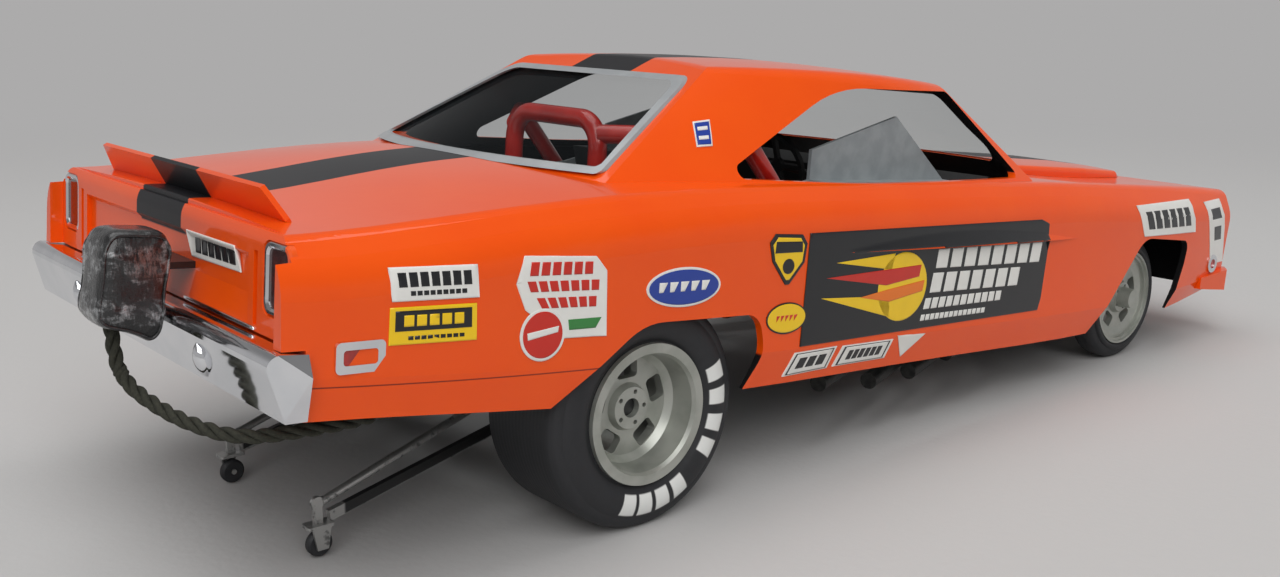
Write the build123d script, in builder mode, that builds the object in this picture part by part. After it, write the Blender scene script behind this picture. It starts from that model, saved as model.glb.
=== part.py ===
from build123d import *
from math import cos, pi, radians, tan
import os

# A 1:25 scale model of a late-sixties hardtop coupe built as a drag racing funny car.
# Millimetres. +X is the car's left, -Y its front, +Z up. The wheels stand on Z = 0 and the
# origin lies on the floor under the middle of the overall length.
# The body stands nose down on its chassis. It is drawn level, in a body frame whose origin is on the
# floor under the rear axle, and BODY_SEAT carries it to its raked seat.

# Overall layout
REAR_AXLE_Y = 50.09
WHEELBASE = 118.6
RAKE = 4.87
FIT = 0.02
GAP = 0.3

# Body shell, in the body frame
WALL = 1.1
NOSE_Y = -151.5
SHOULDER_R = 2.2
BELT_R = 6.0

# Tail of the shell: its plane behind the bumper, the panel above, and the quarters' ends behind both
TAIL_Y = 47.2
PANEL_Y = 48.0
TAIL_END_Y = 49.7
QUARTER_IN = 34.7
DECK_ROLL = 3.0
ROLL_TOP = 39.2
QUARTER_ROLL = 2.5
QUARTER_TOP = 37.8
PANEL_HALF = 24.9
PANEL_SINK = 0.6
GROOVE_X = 26.65
GROOVE_W = 0.9
ROOF_EDGE_R = 3.0

# Greenhouse: slopes in degrees from the horizontal, and the crown of the roof
GREENHOUSE_LOW = 42.0
GREENHOUSE_HIGH = 57.5
ROOF_TOP = 59.2
ROOF_CROWN_R = 300.0
ROOF_MID_Y = -45.0
GLASS_T = 0.6
TRIM_T = 0.35
TRIM_W = 0.8
TRIM_LAP = 0.3

# Wheels
REAR_TYRE_R = 14.86
REAR_TYRE_W = 15.0
REAR_FACE_X = 37.3
REAR_RIM_R = 9.0
REAR_BEAD_R = 8.3
REAR_DISH = 4.6
FRONT_TYRE_R = 11.45
FRONT_TYRE_W = 5.6
FRONT_FACE_X = 34.4
FRONT_RIM_R = 8.6
FRONT_BEAD_R = 8.0
FRONT_DISH = 1.6
AXLE_R = 1.2
RUNNING_GAP = 0.05
SLOTS = 5
LUGS = 5
LUG_R = 0.3
HUB_R = 3.1
HUB_CAP_R = 1.7
HUB_CAP_OUT = 1.5

# Tail lamps, spoiler, bumper and side markers
LAMP_X = 31.3
LAMP_Z = 33.1
LAMP_W = 6.0
LAMP_H = 7.8
LAMP_RIM = 0.8
LAMP_SINK = 0.9
LAMP_PROUD = 0.8
SPOILER_HALF = 25.6
SPOILER_T = 0.6
SPOILER_Y = 44.1
SPOILER_Z = 38.4
SPOILER_H = 3.9
SPOILER_CLIP = 1.9
SPOILER_LEAN = 31.0
BUMPER_LOW = 20.0
BUMPER_TOP = 27.0
BUMPER_END_Y = 51.4
BUMPER_HALF = 38.4
BUMPER_REAR_HALF = 37.0
STUD_X = 19.4
STUD_R = 1.0
STUD_HALF = 2.1
MARKER_RIM = 0.85
# Each side marker: station, height, half-width of the body there, width, height and corner radius
MARKERS = (
    (41.5, 26.0, 36.8, 5.6, 3.3, 0.6),
    (-145.0, 26.9, 36.2, 3.5, 3.5, 1.7),
)

# Nose
NOSE_BUMPER_HALF = 37.3
NOSE_BUMPER_REAR = -140.0
GRILLE_HALF = 32.5
GRILLE_Z = 33.4
GRILLE_H = 8.6
GRILLE_BARS = 9
GRILLE_PITCH = 3.4
GRILLE_BAR_W = 0.6
GRILLE_FRAME = 0.8
HEADLAMP_R = 3.0
HEADLAMP_X = (27.6, 20.6)
HEADLAMP_PROUD = 0.9
# Raised middle of the hood: station, half-width, height at its sides and at the centre line
HOOD_RISE = (
    (-147.5, 14.0, 41.0, 41.7),
    (-142.5, 15.6, 42.7, 43.4),
    (-130.0, 16.0, 43.2, 44.2),
    (-98.0, 16.0, 43.9, 44.9),
)
HOOD_RISE_R = 1.0

# Tubes of the chassis
RAIL_R = 1.3
RAIL_X = 10.5
RAIL_REAR_Z = 18.8
RAIL_FRONT_Z = 14.7
RAIL_REAR_END = 10.0
RAIL_FRONT_END = -124.0
CROSS_R = 1.1
CROSS_Y = (6.5, -30.0, -111.0)
HOUSING_R = 2.2
CAGE_R = 1.35
PIPE_R = 1.3
BAR_X = 14.4
BAR_R = 0.55
BAR_H = 1.3
BAR_W = 0.8
BRACKET_T = 1.0
BRACKET_W = 2.6
BRACKET_H = 8.4
BAR_WHEEL_R = 1.6
BAR_WHEEL_W = 1.2
BAR_WHEEL_Z = 1.85
BAR_PIN_R = 0.35
BAR_EYE_Z = 6.9
BAR_EYE_R = 0.75
BAR_PLATE_Z = 4.0
BAR_PLATE_T = 0.4
# The two bars' tails stand askew: place of each wheel across and behind the axle
BAR_TAILS = (
    ("left", 1, 10.1, 33.8),
    ("right", -1, -18.7, 35.7),
)

# Engine, driveline and exhaust: places behind the rear axle and heights above the floor
ENGINE_Y = -80.0
ENGINE_L = 26.0
ENGINE_LOW = 9.0
ENGINE_H = 18.0
GEARBOX_R = 3.0
BELL_R = 4.6
BELL_L = 6.0
GEARBOX_L = 18.0
DIFF_R = 4.6
DIFF_HALF = 5.5
PORT_Z = 23.0
# Each exhaust pipe's place: port behind the axle; bend across, behind and above; tip behind and above
HEADER_TIP_X = 30.0
HEADER_PIPES = (
    (-71.0, 22.5, -64.0, 10.5, -39.2, 9.5),
    (-77.5, 24.0, -71.5, 9.0, -50.8, 7.6),
    (-84.0, 25.5, -79.0, 8.8, -60.6, 7.3),
    (-90.5, 27.0, -86.5, 9.5, -70.0, 8.6),
)

# Cabin
CAGE_Y = -9.8
CAGE_TOP = 49.0
TIN_FLOOR = 24.6
TIN_FRONT = -64.0
TIN_SIDE_FRONT = -71.5
TIN_REAR = -13.0
TIN_T = 0.6
TIN_HALF = 24.0
TIN_LEDGE_Z = 42.2
TIN_LEDGE_W = 3.4
DASH_HALF = 29.0
WHEEL_Y = -58.0
WHEEL_Z = 42.0

# Parachute pack and tether
PACK_W = 13.0
PACK_D = 6.0
PACK_H = 12.4
PACK_X = -6.3
PACK_Z = 29.3
PACK_FRONT = 51.9
PACK_LEAN = 6.0
PACK_CORNER_R = 1.7
TRAY_W = 7.0
TRAY_T = 0.8
TRAY_H = 4.6
TETHER_D = 1.7
TETHER_POINTS = (
    (-6.5, 53.2, 27.7),
    (-6.5, 54.1, 23.1),
    (-10.0, 53.9, 20.3),
    (-16.5, 51.9, 20.0),
    (-23.5, 47.8, 20.0),
    (-29.8, 40.8, 20.0),
    (-30.0, 32.0, 20.4),
    (-24.5, 25.0, 20.4),
    (-16.5, 20.2, 19.6),
    (-10.5, 15.2, 19.0),
    (-10.5, 10.1, 18.85),
)

BODY_SEAT = Location((0, REAR_AXLE_Y, 0), (RAKE, 0, 0))
FRONT_AXLE_Y = REAR_AXLE_Y - WHEELBASE

os.makedirs("parts", exist_ok=True)


def save(name, part):
    """Labels one finished piece and writes its STEP file."""
    part.label = name
    export_step(part, f"parts/{name}.step")


def seat(x, y, z):
    """A point of the level body frame, carried to the raked seat."""
    return (BODY_SEAT * Location((x, y, z))).position


def station(y):
    """The cross-section plane at a body station: local x is the car's left, local y is up."""
    return Plane(BODY_SEAT * Plane.XZ.offset(-y).location)


def flank(x):
    """The side-view plane at a distance from the centre line: local x runs to the tail, local y is up."""
    return Plane(BODY_SEAT * Plane.YZ.offset(x).location)


def level(z):
    """The plan-view plane at a height of the body: local x is the car's left, local y runs to the tail."""
    return Plane(BODY_SEAT * Plane.XY.offset(z).location)


def bent(points):
    """The largest bends that a tube through these points takes: 0.45 of the shorter run at each corner."""
    places = [Vector(p) for p in points]
    radii = []
    for before, corner, after in zip(places, places[1:], places[2:]):
        arrive, leave = corner - before, after - corner
        turn = radians(arrive.get_angle(leave))
        radii.append(0.45 * min(arrive.length, leave.length) / tan(turn / 2))
    return radii


# Body sections: station, shoulder half-width and height, deck height at the centre line, belt half-width
# and height, crease half-width and height, sill half-width and height
SECTIONS = (
    (-151.5, 34.0, 41.0, 41.3, 36.0, 36.4, 35.6, 25.0, 33.8, 21.6),
    (-138.0, 34.4, 41.7, 41.4, 37.2, 37.2, 37.0, 23.6, 35.8, 20.4),
    (-112.0, 34.8, 42.4, 41.8, 38.4, 38.5, 38.5, 21.8, 37.4, 17.6),
    (-82.0, 35.0, 42.9, 43.6, 38.7, 39.2, 38.8, 21.3, 37.6, 16.6),
    (-45.0, 35.0, 42.9, 44.2, 38.8, 39.2, 39.0, 21.3, 37.6, 16.6),
    (-5.0, 34.8, 42.2, 44.3, 38.8, 38.6, 39.1, 21.7, 38.2, 16.8),
    (22.0, 33.9, 40.2, 41.9, 38.0, 36.4, 38.4, 22.8, 37.8, 18.1),
    (TAIL_END_Y, 32.3, 37.7, 38.6, 36.0, 34.2, 36.6, 24.1, 36.3, 19.7),
)


def body_section(row, wall):
    """One closed section of the lower body. With a wall it is the inside, which is open below the sill."""
    y, edge_x, edge_z, deck, belt_x, belt_z, crease_x, crease_z, sill_x, sill_z = row
    low = sill_z
    if wall > 0:
        y = min(max(y, NOSE_Y + wall), TAIL_Y - wall)
        low = sill_z - 4 * wall
    half = (
        (edge_x - 0.8 * wall, edge_z - wall),
        (belt_x - wall, belt_z - 0.2 * wall),
        (crease_x - wall, crease_z),
        (sill_x - wall, low),
    )
    with BuildSketch(station(y)) as section:
        with BuildLine():
            ThreePointArc((-half[0][0], half[0][1]), (0, deck - wall), half[0])
            Polyline(*half, (-half[3][0], low), *[(-x, z) for x, z in half[2::-1]])
        make_face()
        fillet(section.vertices().sort_by(Axis.Y)[-2:], radius=SHOULDER_R - 0.5 * wall)
        fillet(section.vertices().sort_by(Axis.Y)[4:6], radius=BELT_R - wall)
    return section.sketch


# Corners of the greenhouse's plan at its low and high marks: half-width and station at each height
GREENHOUSE = {
    "screen_middle": ((0, -92.0), (0, -71.5)),
    "screen_corner": ((33.8, -84.5), (24.8, -66.5)),
    "door": ((35.4, -45.0), (27.0, -45.0)),
    "sail": ((28.8, 4.5), (20.8, -19.5)),
    "tail_middle": ((0, 12.0), (0, -20.5)),
}
# How far each corner moves when the walls move out by one, along X and along Y
GREENHOUSE_GROWTH = {
    "screen_middle": (0, -1.6),
    "screen_corner": (1.1, -1.6),
    "door": (1.13, 0),
    "sail": (1.13, 2.0),
    "tail_middle": (0, 2.05),
}


def greenhouse_plan(height, grown):
    """The cabin's outline at a height, with every wall moved out square to itself by grown."""
    share = (height - GREENHOUSE_LOW) / (GREENHOUSE_HIGH - GREENHOUSE_LOW)
    place = {}
    for name, ((low_x, low_y), (high_x, high_y)) in GREENHOUSE.items():
        out_x, out_y = GREENHOUSE_GROWTH[name]
        place[name] = (
            low_x + (high_x - low_x) * share + out_x * grown,
            low_y + (high_y - low_y) * share + out_y * grown,
        )
    other = {name: (-x, y) for name, (x, y) in place.items()}
    with BuildSketch(level(height)) as plan:
        with BuildLine():
            ThreePointArc(other["screen_corner"], place["screen_middle"], place["screen_corner"])
            ThreePointArc(place["screen_corner"], place["door"], place["sail"])
            ThreePointArc(place["sail"], place["tail_middle"], other["sail"])
            ThreePointArc(other["sail"], other["door"], other["screen_corner"])
        make_face()
    return plan.sketch


def greenhouse(grown, foot=34.0):
    """The cabin's upper body as one solid with a crowned roof, moved out by grown on every side."""
    with BuildPart() as cabin:
        loft([greenhouse_plan(height, grown) for height in (foot, 62.0)], ruled=True)
        with Locations(seat(0, ROOF_MID_Y, ROOF_TOP - ROOF_CROWN_R)):
            Sphere(ROOF_CROWN_R + grown, mode=Mode.INTERSECT)
        roof = cabin.faces().filter_by(GeomType.SPHERE)
        fillet(roof.edges(), radius=ROOF_EDGE_R + grown)
    return cabin.part


def window(corners, grown, radii):
    """A window's outline in its own view, symmetrical about the centre line, as a sketch on a station."""
    (low_x, low_z), (high_x, high_z) = corners
    with BuildSketch(station(-40)) as outline:
        with BuildLine():
            Polyline(
                (-low_x - grown, low_z - grown * 0.7),
                (-high_x - grown, high_z + grown * 0.7),
                (high_x + grown, high_z + grown * 0.7),
                (low_x + grown, low_z - grown * 0.7),
                close=True,
            )
        make_face()
        fillet(outline.vertices().sort_by(Axis.Y)[2:], radius=radii[1])
        fillet(outline.vertices().sort_by(Axis.Y)[:2], radius=radii[0])
    return outline.sketch


# Daylight openings seen along the car: lower then upper half-width and height
WINDSCREEN = ((30.4, 45.6), (23.2, 56.0))
BACKLIGHT = ((26.3, 43.9), (19.6, 55.5))
# Corner radii of each: low and high
WINDSCREEN_R = (2.0, 3.0)
BACKLIGHT_R = (0.4, 3.5)
# Side window seen from the side, from its front lower corner round
SIDE_WINDOW = ((-79.4, 43.5), (-67.7, 56.4), (-38.9, 55.9), (-13.2, 43.3), (-38.8, 42.8))
SIDE_WINDOW_R = (0.8, 1.8, 28.0, 1.0, 300.0)
REAR_ARCH = ((-13.2, 12.0), (-13.6, 16.6), (-16.2, 21.6), (-14.6, 26.7), (4.6, 26.9), (22.0, 14.5))
REAR_ARCH_R = (0.1, 3.0, 5.5, 3.0, 9.0, 0.1)
FRONT_ARCH = ((-96.2, 14.0), (-113.8, 33.2), (-132.2, 32.0), (-131.4, 27.6), (-126.0, 14.0))
FRONT_ARCH_R = (0.1, 6.0, 1.8, 1.5, 0.1)


def side_outline(points, x, radii):
    """A closed outline seen from the side, with a fillet radius for each of its points."""
    with BuildSketch(flank(x)) as outline:
        with BuildLine():
            FilletPolyline(*points, radius=radii, close=True)
        make_face()
    return outline.sketch


def across(points, half):
    """A solid of one outline seen from the side, running the same distance to both sides."""
    with BuildPart() as block:
        with BuildSketch(flank(0)):
            with BuildLine():
                Polyline(*points, close=True)
            make_face()
        extrude(amount=half, both=True)
    return block.part


def rolled(rear, top, radius):
    """What an outward-rounded edge cuts away, seen from the side: behind rear, above top, outside the arc."""
    slack = 3.0
    corner = radius * (1 - cos(radians(45)))
    with BuildSketch(flank(0)) as outline:
        with BuildLine():
            ThreePointArc((rear, top - radius), (rear - corner, top - corner), (rear - radius, top))
            Polyline(
                (rear - radius, top),
                (rear - radius, top + slack),
                (rear + slack, top + slack),
                (rear + slack, top - radius),
                (rear, top - radius),
            )
        make_face()
    return outline.sketch


# Body shell: hollow, open below, in one moulding with its windows and wheel arches cut
forward = station(0).z_dir
rearward = -forward
lower_body = loft([body_section(row, 0.0) for row in SECTIONS])
body_skin = loft([body_section(row, -FIT) for row in SECTIONS])
behind_all = TAIL_END_Y + 5.0
above_deck = ROLL_TOP + 5.0
bumper_room = across(((TAIL_Y, 10), (behind_all, 10), (behind_all, BUMPER_TOP + FIT), (TAIL_Y, BUMPER_TOP + FIT)), 45)
panel_room = across(((PANEL_Y, 10), (behind_all, 10), (behind_all, above_deck), (PANEL_Y, above_deck)), QUARTER_IN)
panel_sunk = PANEL_Y - PANEL_SINK
panel_valley = across(((PANEL_Y, 35.0), (panel_sunk, 34.4), (panel_sunk, 30.6), (PANEL_Y, 27.6)), PANEL_HALF)
with BuildPart() as body_shell:
    add(lower_body)
    add(greenhouse(0.0))
    loft([body_section(row, WALL) for row in SECTIONS], mode=Mode.SUBTRACT)
    add(greenhouse(-WALL), mode=Mode.SUBTRACT)
    extrude(window(WINDSCREEN, 0.0, WINDSCREEN_R), amount=70, dir=forward, mode=Mode.SUBTRACT)
    extrude(window(BACKLIGHT, 0.0, BACKLIGHT_R), amount=70, dir=rearward, mode=Mode.SUBTRACT)
    extrude(side_outline(SIDE_WINDOW, 0, SIDE_WINDOW_R), amount=60, both=True, mode=Mode.SUBTRACT)
    for side in (-1, 1):
        for points, radii in ((REAR_ARCH, REAR_ARCH_R), (FRONT_ARCH, FRONT_ARCH_R)):
            arch = side_outline(points, side * 31.0, radii)
            extrude(arch, amount=12.0, dir=(side, 0, 0), mode=Mode.SUBTRACT)
    # The tail: rolled deck edge, panel set in between the quarters' rounded ends, lamp pockets
    add(bumper_room, mode=Mode.SUBTRACT)
    add(panel_room, mode=Mode.SUBTRACT)
    extrude(rolled(PANEL_Y, ROLL_TOP, DECK_ROLL), amount=QUARTER_IN, both=True, mode=Mode.SUBTRACT)
    extrude(rolled(TAIL_END_Y, QUARTER_TOP, QUARTER_ROLL), amount=45, both=True, mode=Mode.SUBTRACT)
    add(panel_valley, mode=Mode.SUBTRACT)
    with BuildSketch(station(PANEL_Y)):
        with Locations((-LAMP_X, LAMP_Z), (LAMP_X, LAMP_Z)):
            RectangleRounded(LAMP_W + 2 * FIT, LAMP_H + 2 * FIT, 1.4)
        with Locations((-GROOVE_X, LAMP_Z - 1.5), (GROOVE_X, LAMP_Z - 1.5)):
            Rectangle(GROOVE_W, LAMP_H)
    extrude(amount=LAMP_SINK, mode=Mode.SUBTRACT)
save("body_shell", body_shell.part)

# Glass, and the grey trim round it, both following the cabin's surfaces
glass_outside = greenhouse(-0.25)
glass_inside = greenhouse(-0.25 - GLASS_T)
trim_outside = greenhouse(FIT + TRIM_T)
trim_inside = greenhouse(FIT)
for name, corners, radii, direction in (
    ("windshield", WINDSCREEN, WINDSCREEN_R, forward),
    ("rear_window", BACKLIGHT, BACKLIGHT_R, rearward),
):
    with BuildPart() as glass:
        extrude(window(corners, -FIT, radii), amount=70, dir=direction)
        add(glass_outside, mode=Mode.INTERSECT)
        add(glass_inside, mode=Mode.SUBTRACT)
    save(name, glass.part)
    with BuildPart() as trim:
        extrude(window(corners, TRIM_W, radii), amount=70, dir=direction)
        extrude(window(corners, -TRIM_LAP, radii), amount=70, dir=direction, mode=Mode.SUBTRACT)
        add(trim_outside, mode=Mode.INTERSECT)
        add(trim_inside, mode=Mode.SUBTRACT)
        add(body_skin, mode=Mode.SUBTRACT)
    save(name + "_trim", trim.part)

# Raised middle of the hood: a low wide bump with rounded edges, open at its rear before the windscreen
with BuildPart() as hood_scoop:
    for y, half, side_z, middle_z in HOOD_RISE:
        low = SECTIONS[0][3] - 4.0
        with BuildSketch(station(y)) as section:
            with BuildLine():
                ThreePointArc((-half, side_z), (0, middle_z), (half, side_z))
                Polyline((half, side_z), (half, low), (-half, low), (-half, side_z))
            make_face()
            fillet(section.vertices().sort_by(Axis.Y)[-2:], radius=HOOD_RISE_R)
    loft(ruled=True)
    add(body_skin, mode=Mode.SUBTRACT)
save("hood_scoop", hood_scoop.part)

# Rear spoiler: an upright blade that leans back from the deck, with clipped upper corners
with BuildPart() as rear_spoiler:
    with BuildSketch(Plane(BODY_SEAT * Location((0, SPOILER_Y, SPOILER_Z), (90 - SPOILER_LEAN, 0, 0)))):
        with BuildLine():
            Polyline(
                (-SPOILER_HALF, -0.6),
                (-SPOILER_HALF, 0.0),
                (-SPOILER_HALF + SPOILER_CLIP, SPOILER_H),
                (SPOILER_HALF - SPOILER_CLIP, SPOILER_H),
                (SPOILER_HALF, 0.0),
                (SPOILER_HALF, -0.6),
                close=True,
            )
        make_face()
    extrude(amount=SPOILER_T / 2, both=True)
    add(body_skin, mode=Mode.SUBTRACT)
save("rear_spoiler", rear_spoiler.part)

# Tail lamps: a chrome bezel with its lens set inside, both in a pocket beside the tail panel
lamp_floor = station(PANEL_Y - LAMP_SINK + FIT)
lens_w = LAMP_W - 2 * LAMP_RIM
lens_h = LAMP_H - 2 * LAMP_RIM
with BuildPart() as taillight_bezels:
    with BuildSketch(lamp_floor):
        with Locations((-LAMP_X, LAMP_Z), (LAMP_X, LAMP_Z)):
            RectangleRounded(LAMP_W, LAMP_H, 1.4)
            RectangleRounded(lens_w, lens_h, 0.8, mode=Mode.SUBTRACT)
    extrude(amount=-LAMP_PROUD)
    outer_edges = taillight_bezels.faces().sort_by(Axis.Y)[-2:].edges()
    chamfer(outer_edges, length=0.25)
save("taillight_bezels", taillight_bezels.part)

with BuildPart() as taillight_lenses:
    with BuildSketch(lamp_floor):
        with Locations((-LAMP_X, LAMP_Z), (LAMP_X, LAMP_Z)):
            RectangleRounded(lens_w - 2 * FIT, lens_h - 2 * FIT, 0.8 - FIT)
    extrude(amount=-LAMP_PROUD * 0.6)
save("taillight_lenses", taillight_lenses.part)

# Side markers at the rear quarters and the front corners: a bezel standing on the side, its lens inside
for name, proud, hollow in (
    ("side_marker_bezels", 0.6, True),
    ("side_marker_lenses", 0.35, False),
):
    with BuildPart() as markers:
        for side in (-1, 1):
            for marker_y, marker_z, marker_x, width, height, corner in MARKERS:
                lens_w, lens_h = width - 2 * MARKER_RIM, height - 2 * MARKER_RIM
                lens_corner = max(corner - MARKER_RIM, 0.35)
                with BuildSketch(flank(side * (marker_x - 4.0))):
                    with Locations((marker_y, marker_z)):
                        if hollow:
                            RectangleRounded(width, height, corner)
                            RectangleRounded(lens_w, lens_h, lens_corner, mode=Mode.SUBTRACT)
                        else:
                            RectangleRounded(lens_w - 2 * FIT, lens_h - 2 * FIT, lens_corner - FIT)
                extrude(amount=side * (proud + 4.0))
        add(body_skin, mode=Mode.SUBTRACT)
    save(name, markers.part)

# Rear bumper: a blade across the tail that leans in below its ridge. Its ends wrap past the body's sides.
with BuildPart() as rear_bumper:
    with BuildSketch(flank(0)):
        with BuildLine():
            Polyline(
                (BUMPER_END_Y, BUMPER_TOP - 1.7),
                (BUMPER_END_Y - 1.8, BUMPER_LOW),
                (TAIL_Y + FIT, BUMPER_LOW),
                (TAIL_Y + FIT, BUMPER_TOP - 0.2),
                (BUMPER_END_Y - 1.2, BUMPER_TOP - FIT),
            )
            ThreePointArc(
                (BUMPER_END_Y - 1.2, BUMPER_TOP - FIT),
                (BUMPER_END_Y - 0.25, BUMPER_TOP - 0.6),
                (BUMPER_END_Y, BUMPER_TOP - 1.7),
            )
        make_face()
    extrude(amount=BUMPER_HALF, both=True)
    # Its ends taper to the rear, and fall in above and below their own ridge
    with BuildSketch(level(BUMPER_LOW - 1)):
        Polygon(
            (-BUMPER_HALF, TAIL_Y),
            (-BUMPER_REAR_HALF, BUMPER_END_Y),
            (BUMPER_REAR_HALF, BUMPER_END_Y),
            (BUMPER_HALF, TAIL_Y),
            align=None,
        )
    extrude(amount=BUMPER_TOP - BUMPER_LOW + 2, mode=Mode.INTERSECT)
    with BuildSketch(station(TAIL_Y - 1)):
        Polygon(
            (-BUMPER_HALF + 1.1, BUMPER_TOP),
            (-BUMPER_HALF, BUMPER_TOP - 2.4),
            (-BUMPER_HALF + 0.9, BUMPER_LOW),
            (BUMPER_HALF - 0.9, BUMPER_LOW),
            (BUMPER_HALF, BUMPER_TOP - 2.4),
            (BUMPER_HALF - 1.1, BUMPER_TOP),
            align=None,
        )
    extrude(amount=-8, mode=Mode.INTERSECT)
    # Two almond-shaped studs on its leaning lower face
    for side in (-1, 1):
        stud_seat = Plane(BODY_SEAT * Location((side * STUD_X, BUMPER_END_Y - 0.95, 22.6), (-18.8, 0, 0)))
        lengthwise = Plane(origin=stud_seat.origin, x_dir=stud_seat.x_dir, z_dir=-stud_seat.y_dir)
        with BuildSketch(lengthwise):
            with BuildLine():
                ThreePointArc((0, -STUD_HALF), (STUD_R, 0), (0, STUD_HALF))
                Line((0, STUD_HALF), (0, -STUD_HALF))
            make_face()
        revolve(axis=Axis(stud_seat.origin, stud_seat.z_dir))
save("rear_bumper", rear_bumper.part)

# Front bumper: a body-coloured blade under the grille, its ends wrapped round to the sides
with BuildPart() as front_bumper:
    with BuildSketch(flank(0)):
        with BuildLine():
            Polyline(
                (NOSE_BUMPER_REAR, 24.4),
                (NOSE_Y - FIT, 25.6),
                (NOSE_Y - 2.6, 25.6),
                (NOSE_Y - 3.4, 24.4),
                (NOSE_Y - 2.8, 22.0),
                (NOSE_Y - FIT, 21.4),
                (NOSE_BUMPER_REAR, 22.2),
                close=True,
            )
        make_face()
    extrude(amount=NOSE_BUMPER_HALF, both=True)
    with BuildSketch(level(20.0)):
        Polygon(
            (-NOSE_BUMPER_HALF, NOSE_BUMPER_REAR),
            (-NOSE_BUMPER_HALF, NOSE_Y + 1.0),
            (-NOSE_BUMPER_HALF + 2.7, NOSE_Y - 3.4),
            (NOSE_BUMPER_HALF - 2.7, NOSE_Y - 3.4),
            (NOSE_BUMPER_HALF, NOSE_Y + 1.0),
            (NOSE_BUMPER_HALF, NOSE_BUMPER_REAR),
            align=None,
        )
    extrude(amount=10.0, mode=Mode.INTERSECT)
    with BuildSketch(level(20.0)):
        with Locations((0, (NOSE_Y + NOSE_BUMPER_REAR) / 2)):
            Rectangle(2 * NOSE_BUMPER_HALF - 4.0, NOSE_BUMPER_REAR - NOSE_Y + 2 * FIT)
    extrude(amount=10.0, mode=Mode.SUBTRACT)
    add(body_skin, mode=Mode.SUBTRACT)
save("front_bumper", front_bumper.part)

# Grille: a frame with vertical bars on a back plate, standing on the nose between the lamps
with BuildPart() as grille:
    with BuildSketch(station(NOSE_Y - FIT)):
        with Locations((0, GRILLE_Z)):
            RectangleRounded(2 * GRILLE_HALF, GRILLE_H, 1.2)
            for side in (-1, 1):
                for x in HEADLAMP_X:
                    with Locations((side * x, 0)):
                        Circle(HEADLAMP_R + FIT, mode=Mode.SUBTRACT)
    extrude(amount=0.5)
    with BuildSketch(station(NOSE_Y - FIT - 0.5)):
        with Locations((0, GRILLE_Z)):
            RectangleRounded(2 * GRILLE_HALF, GRILLE_H, 1.2)
            RectangleRounded(
                2 * (GRILLE_HALF - GRILLE_FRAME), GRILLE_H - 2 * GRILLE_FRAME, 0.7, mode=Mode.SUBTRACT
            )
            with GridLocations(GRILLE_PITCH, 0, GRILLE_BARS, 1):
                Rectangle(GRILLE_BAR_W, GRILLE_H - GRILLE_FRAME)
    extrude(amount=0.6)
save("grille", grille.part)

with BuildPart() as headlamps:
    for side in (-1, 1):
        for x in HEADLAMP_X:
            with BuildSketch(station(NOSE_Y - FIT)):
                with Locations((side * x, GRILLE_Z)):
                    Circle(HEADLAMP_R)
            extrude(amount=HEADLAMP_PROUD)
    chamfer(headlamps.faces().sort_by(Axis.Y)[:4].edges(), length=0.35)
save("headlamps", headlamps.part)


def straight(start, end, radius):
    """A round bar between two points."""
    run = Vector(*end) - Vector(*start)
    with BuildPart() as bar:
        with BuildSketch(Plane(origin=start, z_dir=run)):
            Circle(radius)
        extrude(amount=run.length)
    return bar.part


def pipe(points, radius, radii):
    """A round bar along straight runs joined by arcs."""
    with BuildPart() as bar:
        with BuildLine() as route:
            FilletPolyline(*points, radius=radii)
        with BuildSketch(Plane(origin=route.line @ 0, z_dir=route.line % 0)):
            Circle(radius)
        sweep(path=route.line)
    return bar.part


def at(x, y, z):
    """A chassis point: x to the left, y behind the rear axle, z above the floor."""
    return (x, REAR_AXLE_Y + y, z)


# Chassis: two straight rails with cross tubes between them, coped to the rails
rails = {}
for name, side in (("frame_rail_left", 1), ("frame_rail_right", -1)):
    rail_rear = at(side * RAIL_X, RAIL_REAR_END, RAIL_REAR_Z)
    rail_front = at(side * RAIL_X, RAIL_FRONT_END, RAIL_FRONT_Z)
    rails[side] = straight(rail_rear, rail_front, RAIL_R)
    save(name, rails[side])


def rail_height(y):
    """The height of the rails' centre line at a place behind the rear axle."""
    share = (y - RAIL_REAR_END) / (RAIL_FRONT_END - RAIL_REAR_END)
    return RAIL_REAR_Z + (RAIL_FRONT_Z - RAIL_REAR_Z) * share


with BuildPart() as crossmembers:
    for y in CROSS_Y:
        add(straight(at(-RAIL_X, y, rail_height(y)), at(RAIL_X, y, rail_height(y)), CROSS_R))
    for side in (-1, 1):
        add(rails[side], mode=Mode.SUBTRACT)
save("crossmembers", crossmembers.part)

# Front axle: a straight tube with spindles in the hubs, and a perch under each rail
with BuildPart() as front_axle:
    with BuildSketch(Plane.YZ):
        with Locations((FRONT_AXLE_Y, FRONT_TYRE_R)):
            Circle(AXLE_R + 0.5)
    extrude(amount=FRONT_FACE_X - FRONT_TYRE_W - GAP, both=True)
    with BuildSketch(Plane.YZ):
        with Locations((FRONT_AXLE_Y, FRONT_TYRE_R)):
            Circle(AXLE_R)
    extrude(amount=FRONT_FACE_X - FRONT_DISH, both=True)
    for side in (-1, 1):
        with BuildSketch(Plane.XY.offset(FRONT_TYRE_R)):
            with Locations((side * RAIL_X, FRONT_AXLE_Y)):
                Rectangle(1.6, 2.6)
        extrude(amount=rail_height(-WHEELBASE) - RAIL_R - FRONT_TYRE_R - 0.15)
save("front_axle", front_axle.part)

# Radius rods from the front axle back to the rails' sides
with BuildPart() as radius_rods:
    for side in (-1, 1):
        add(
            straight(
                at(side * (RAIL_X + 7.5), -WHEELBASE + AXLE_R + 0.6 + FIT, FRONT_TYRE_R),
                at(side * (RAIL_X + RAIL_R + 0.75), -WHEELBASE + 34.0, rail_height(-WHEELBASE + 34.0)),
                0.7,
            )
        )
save("radius_rods", radius_rods.part)

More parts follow.
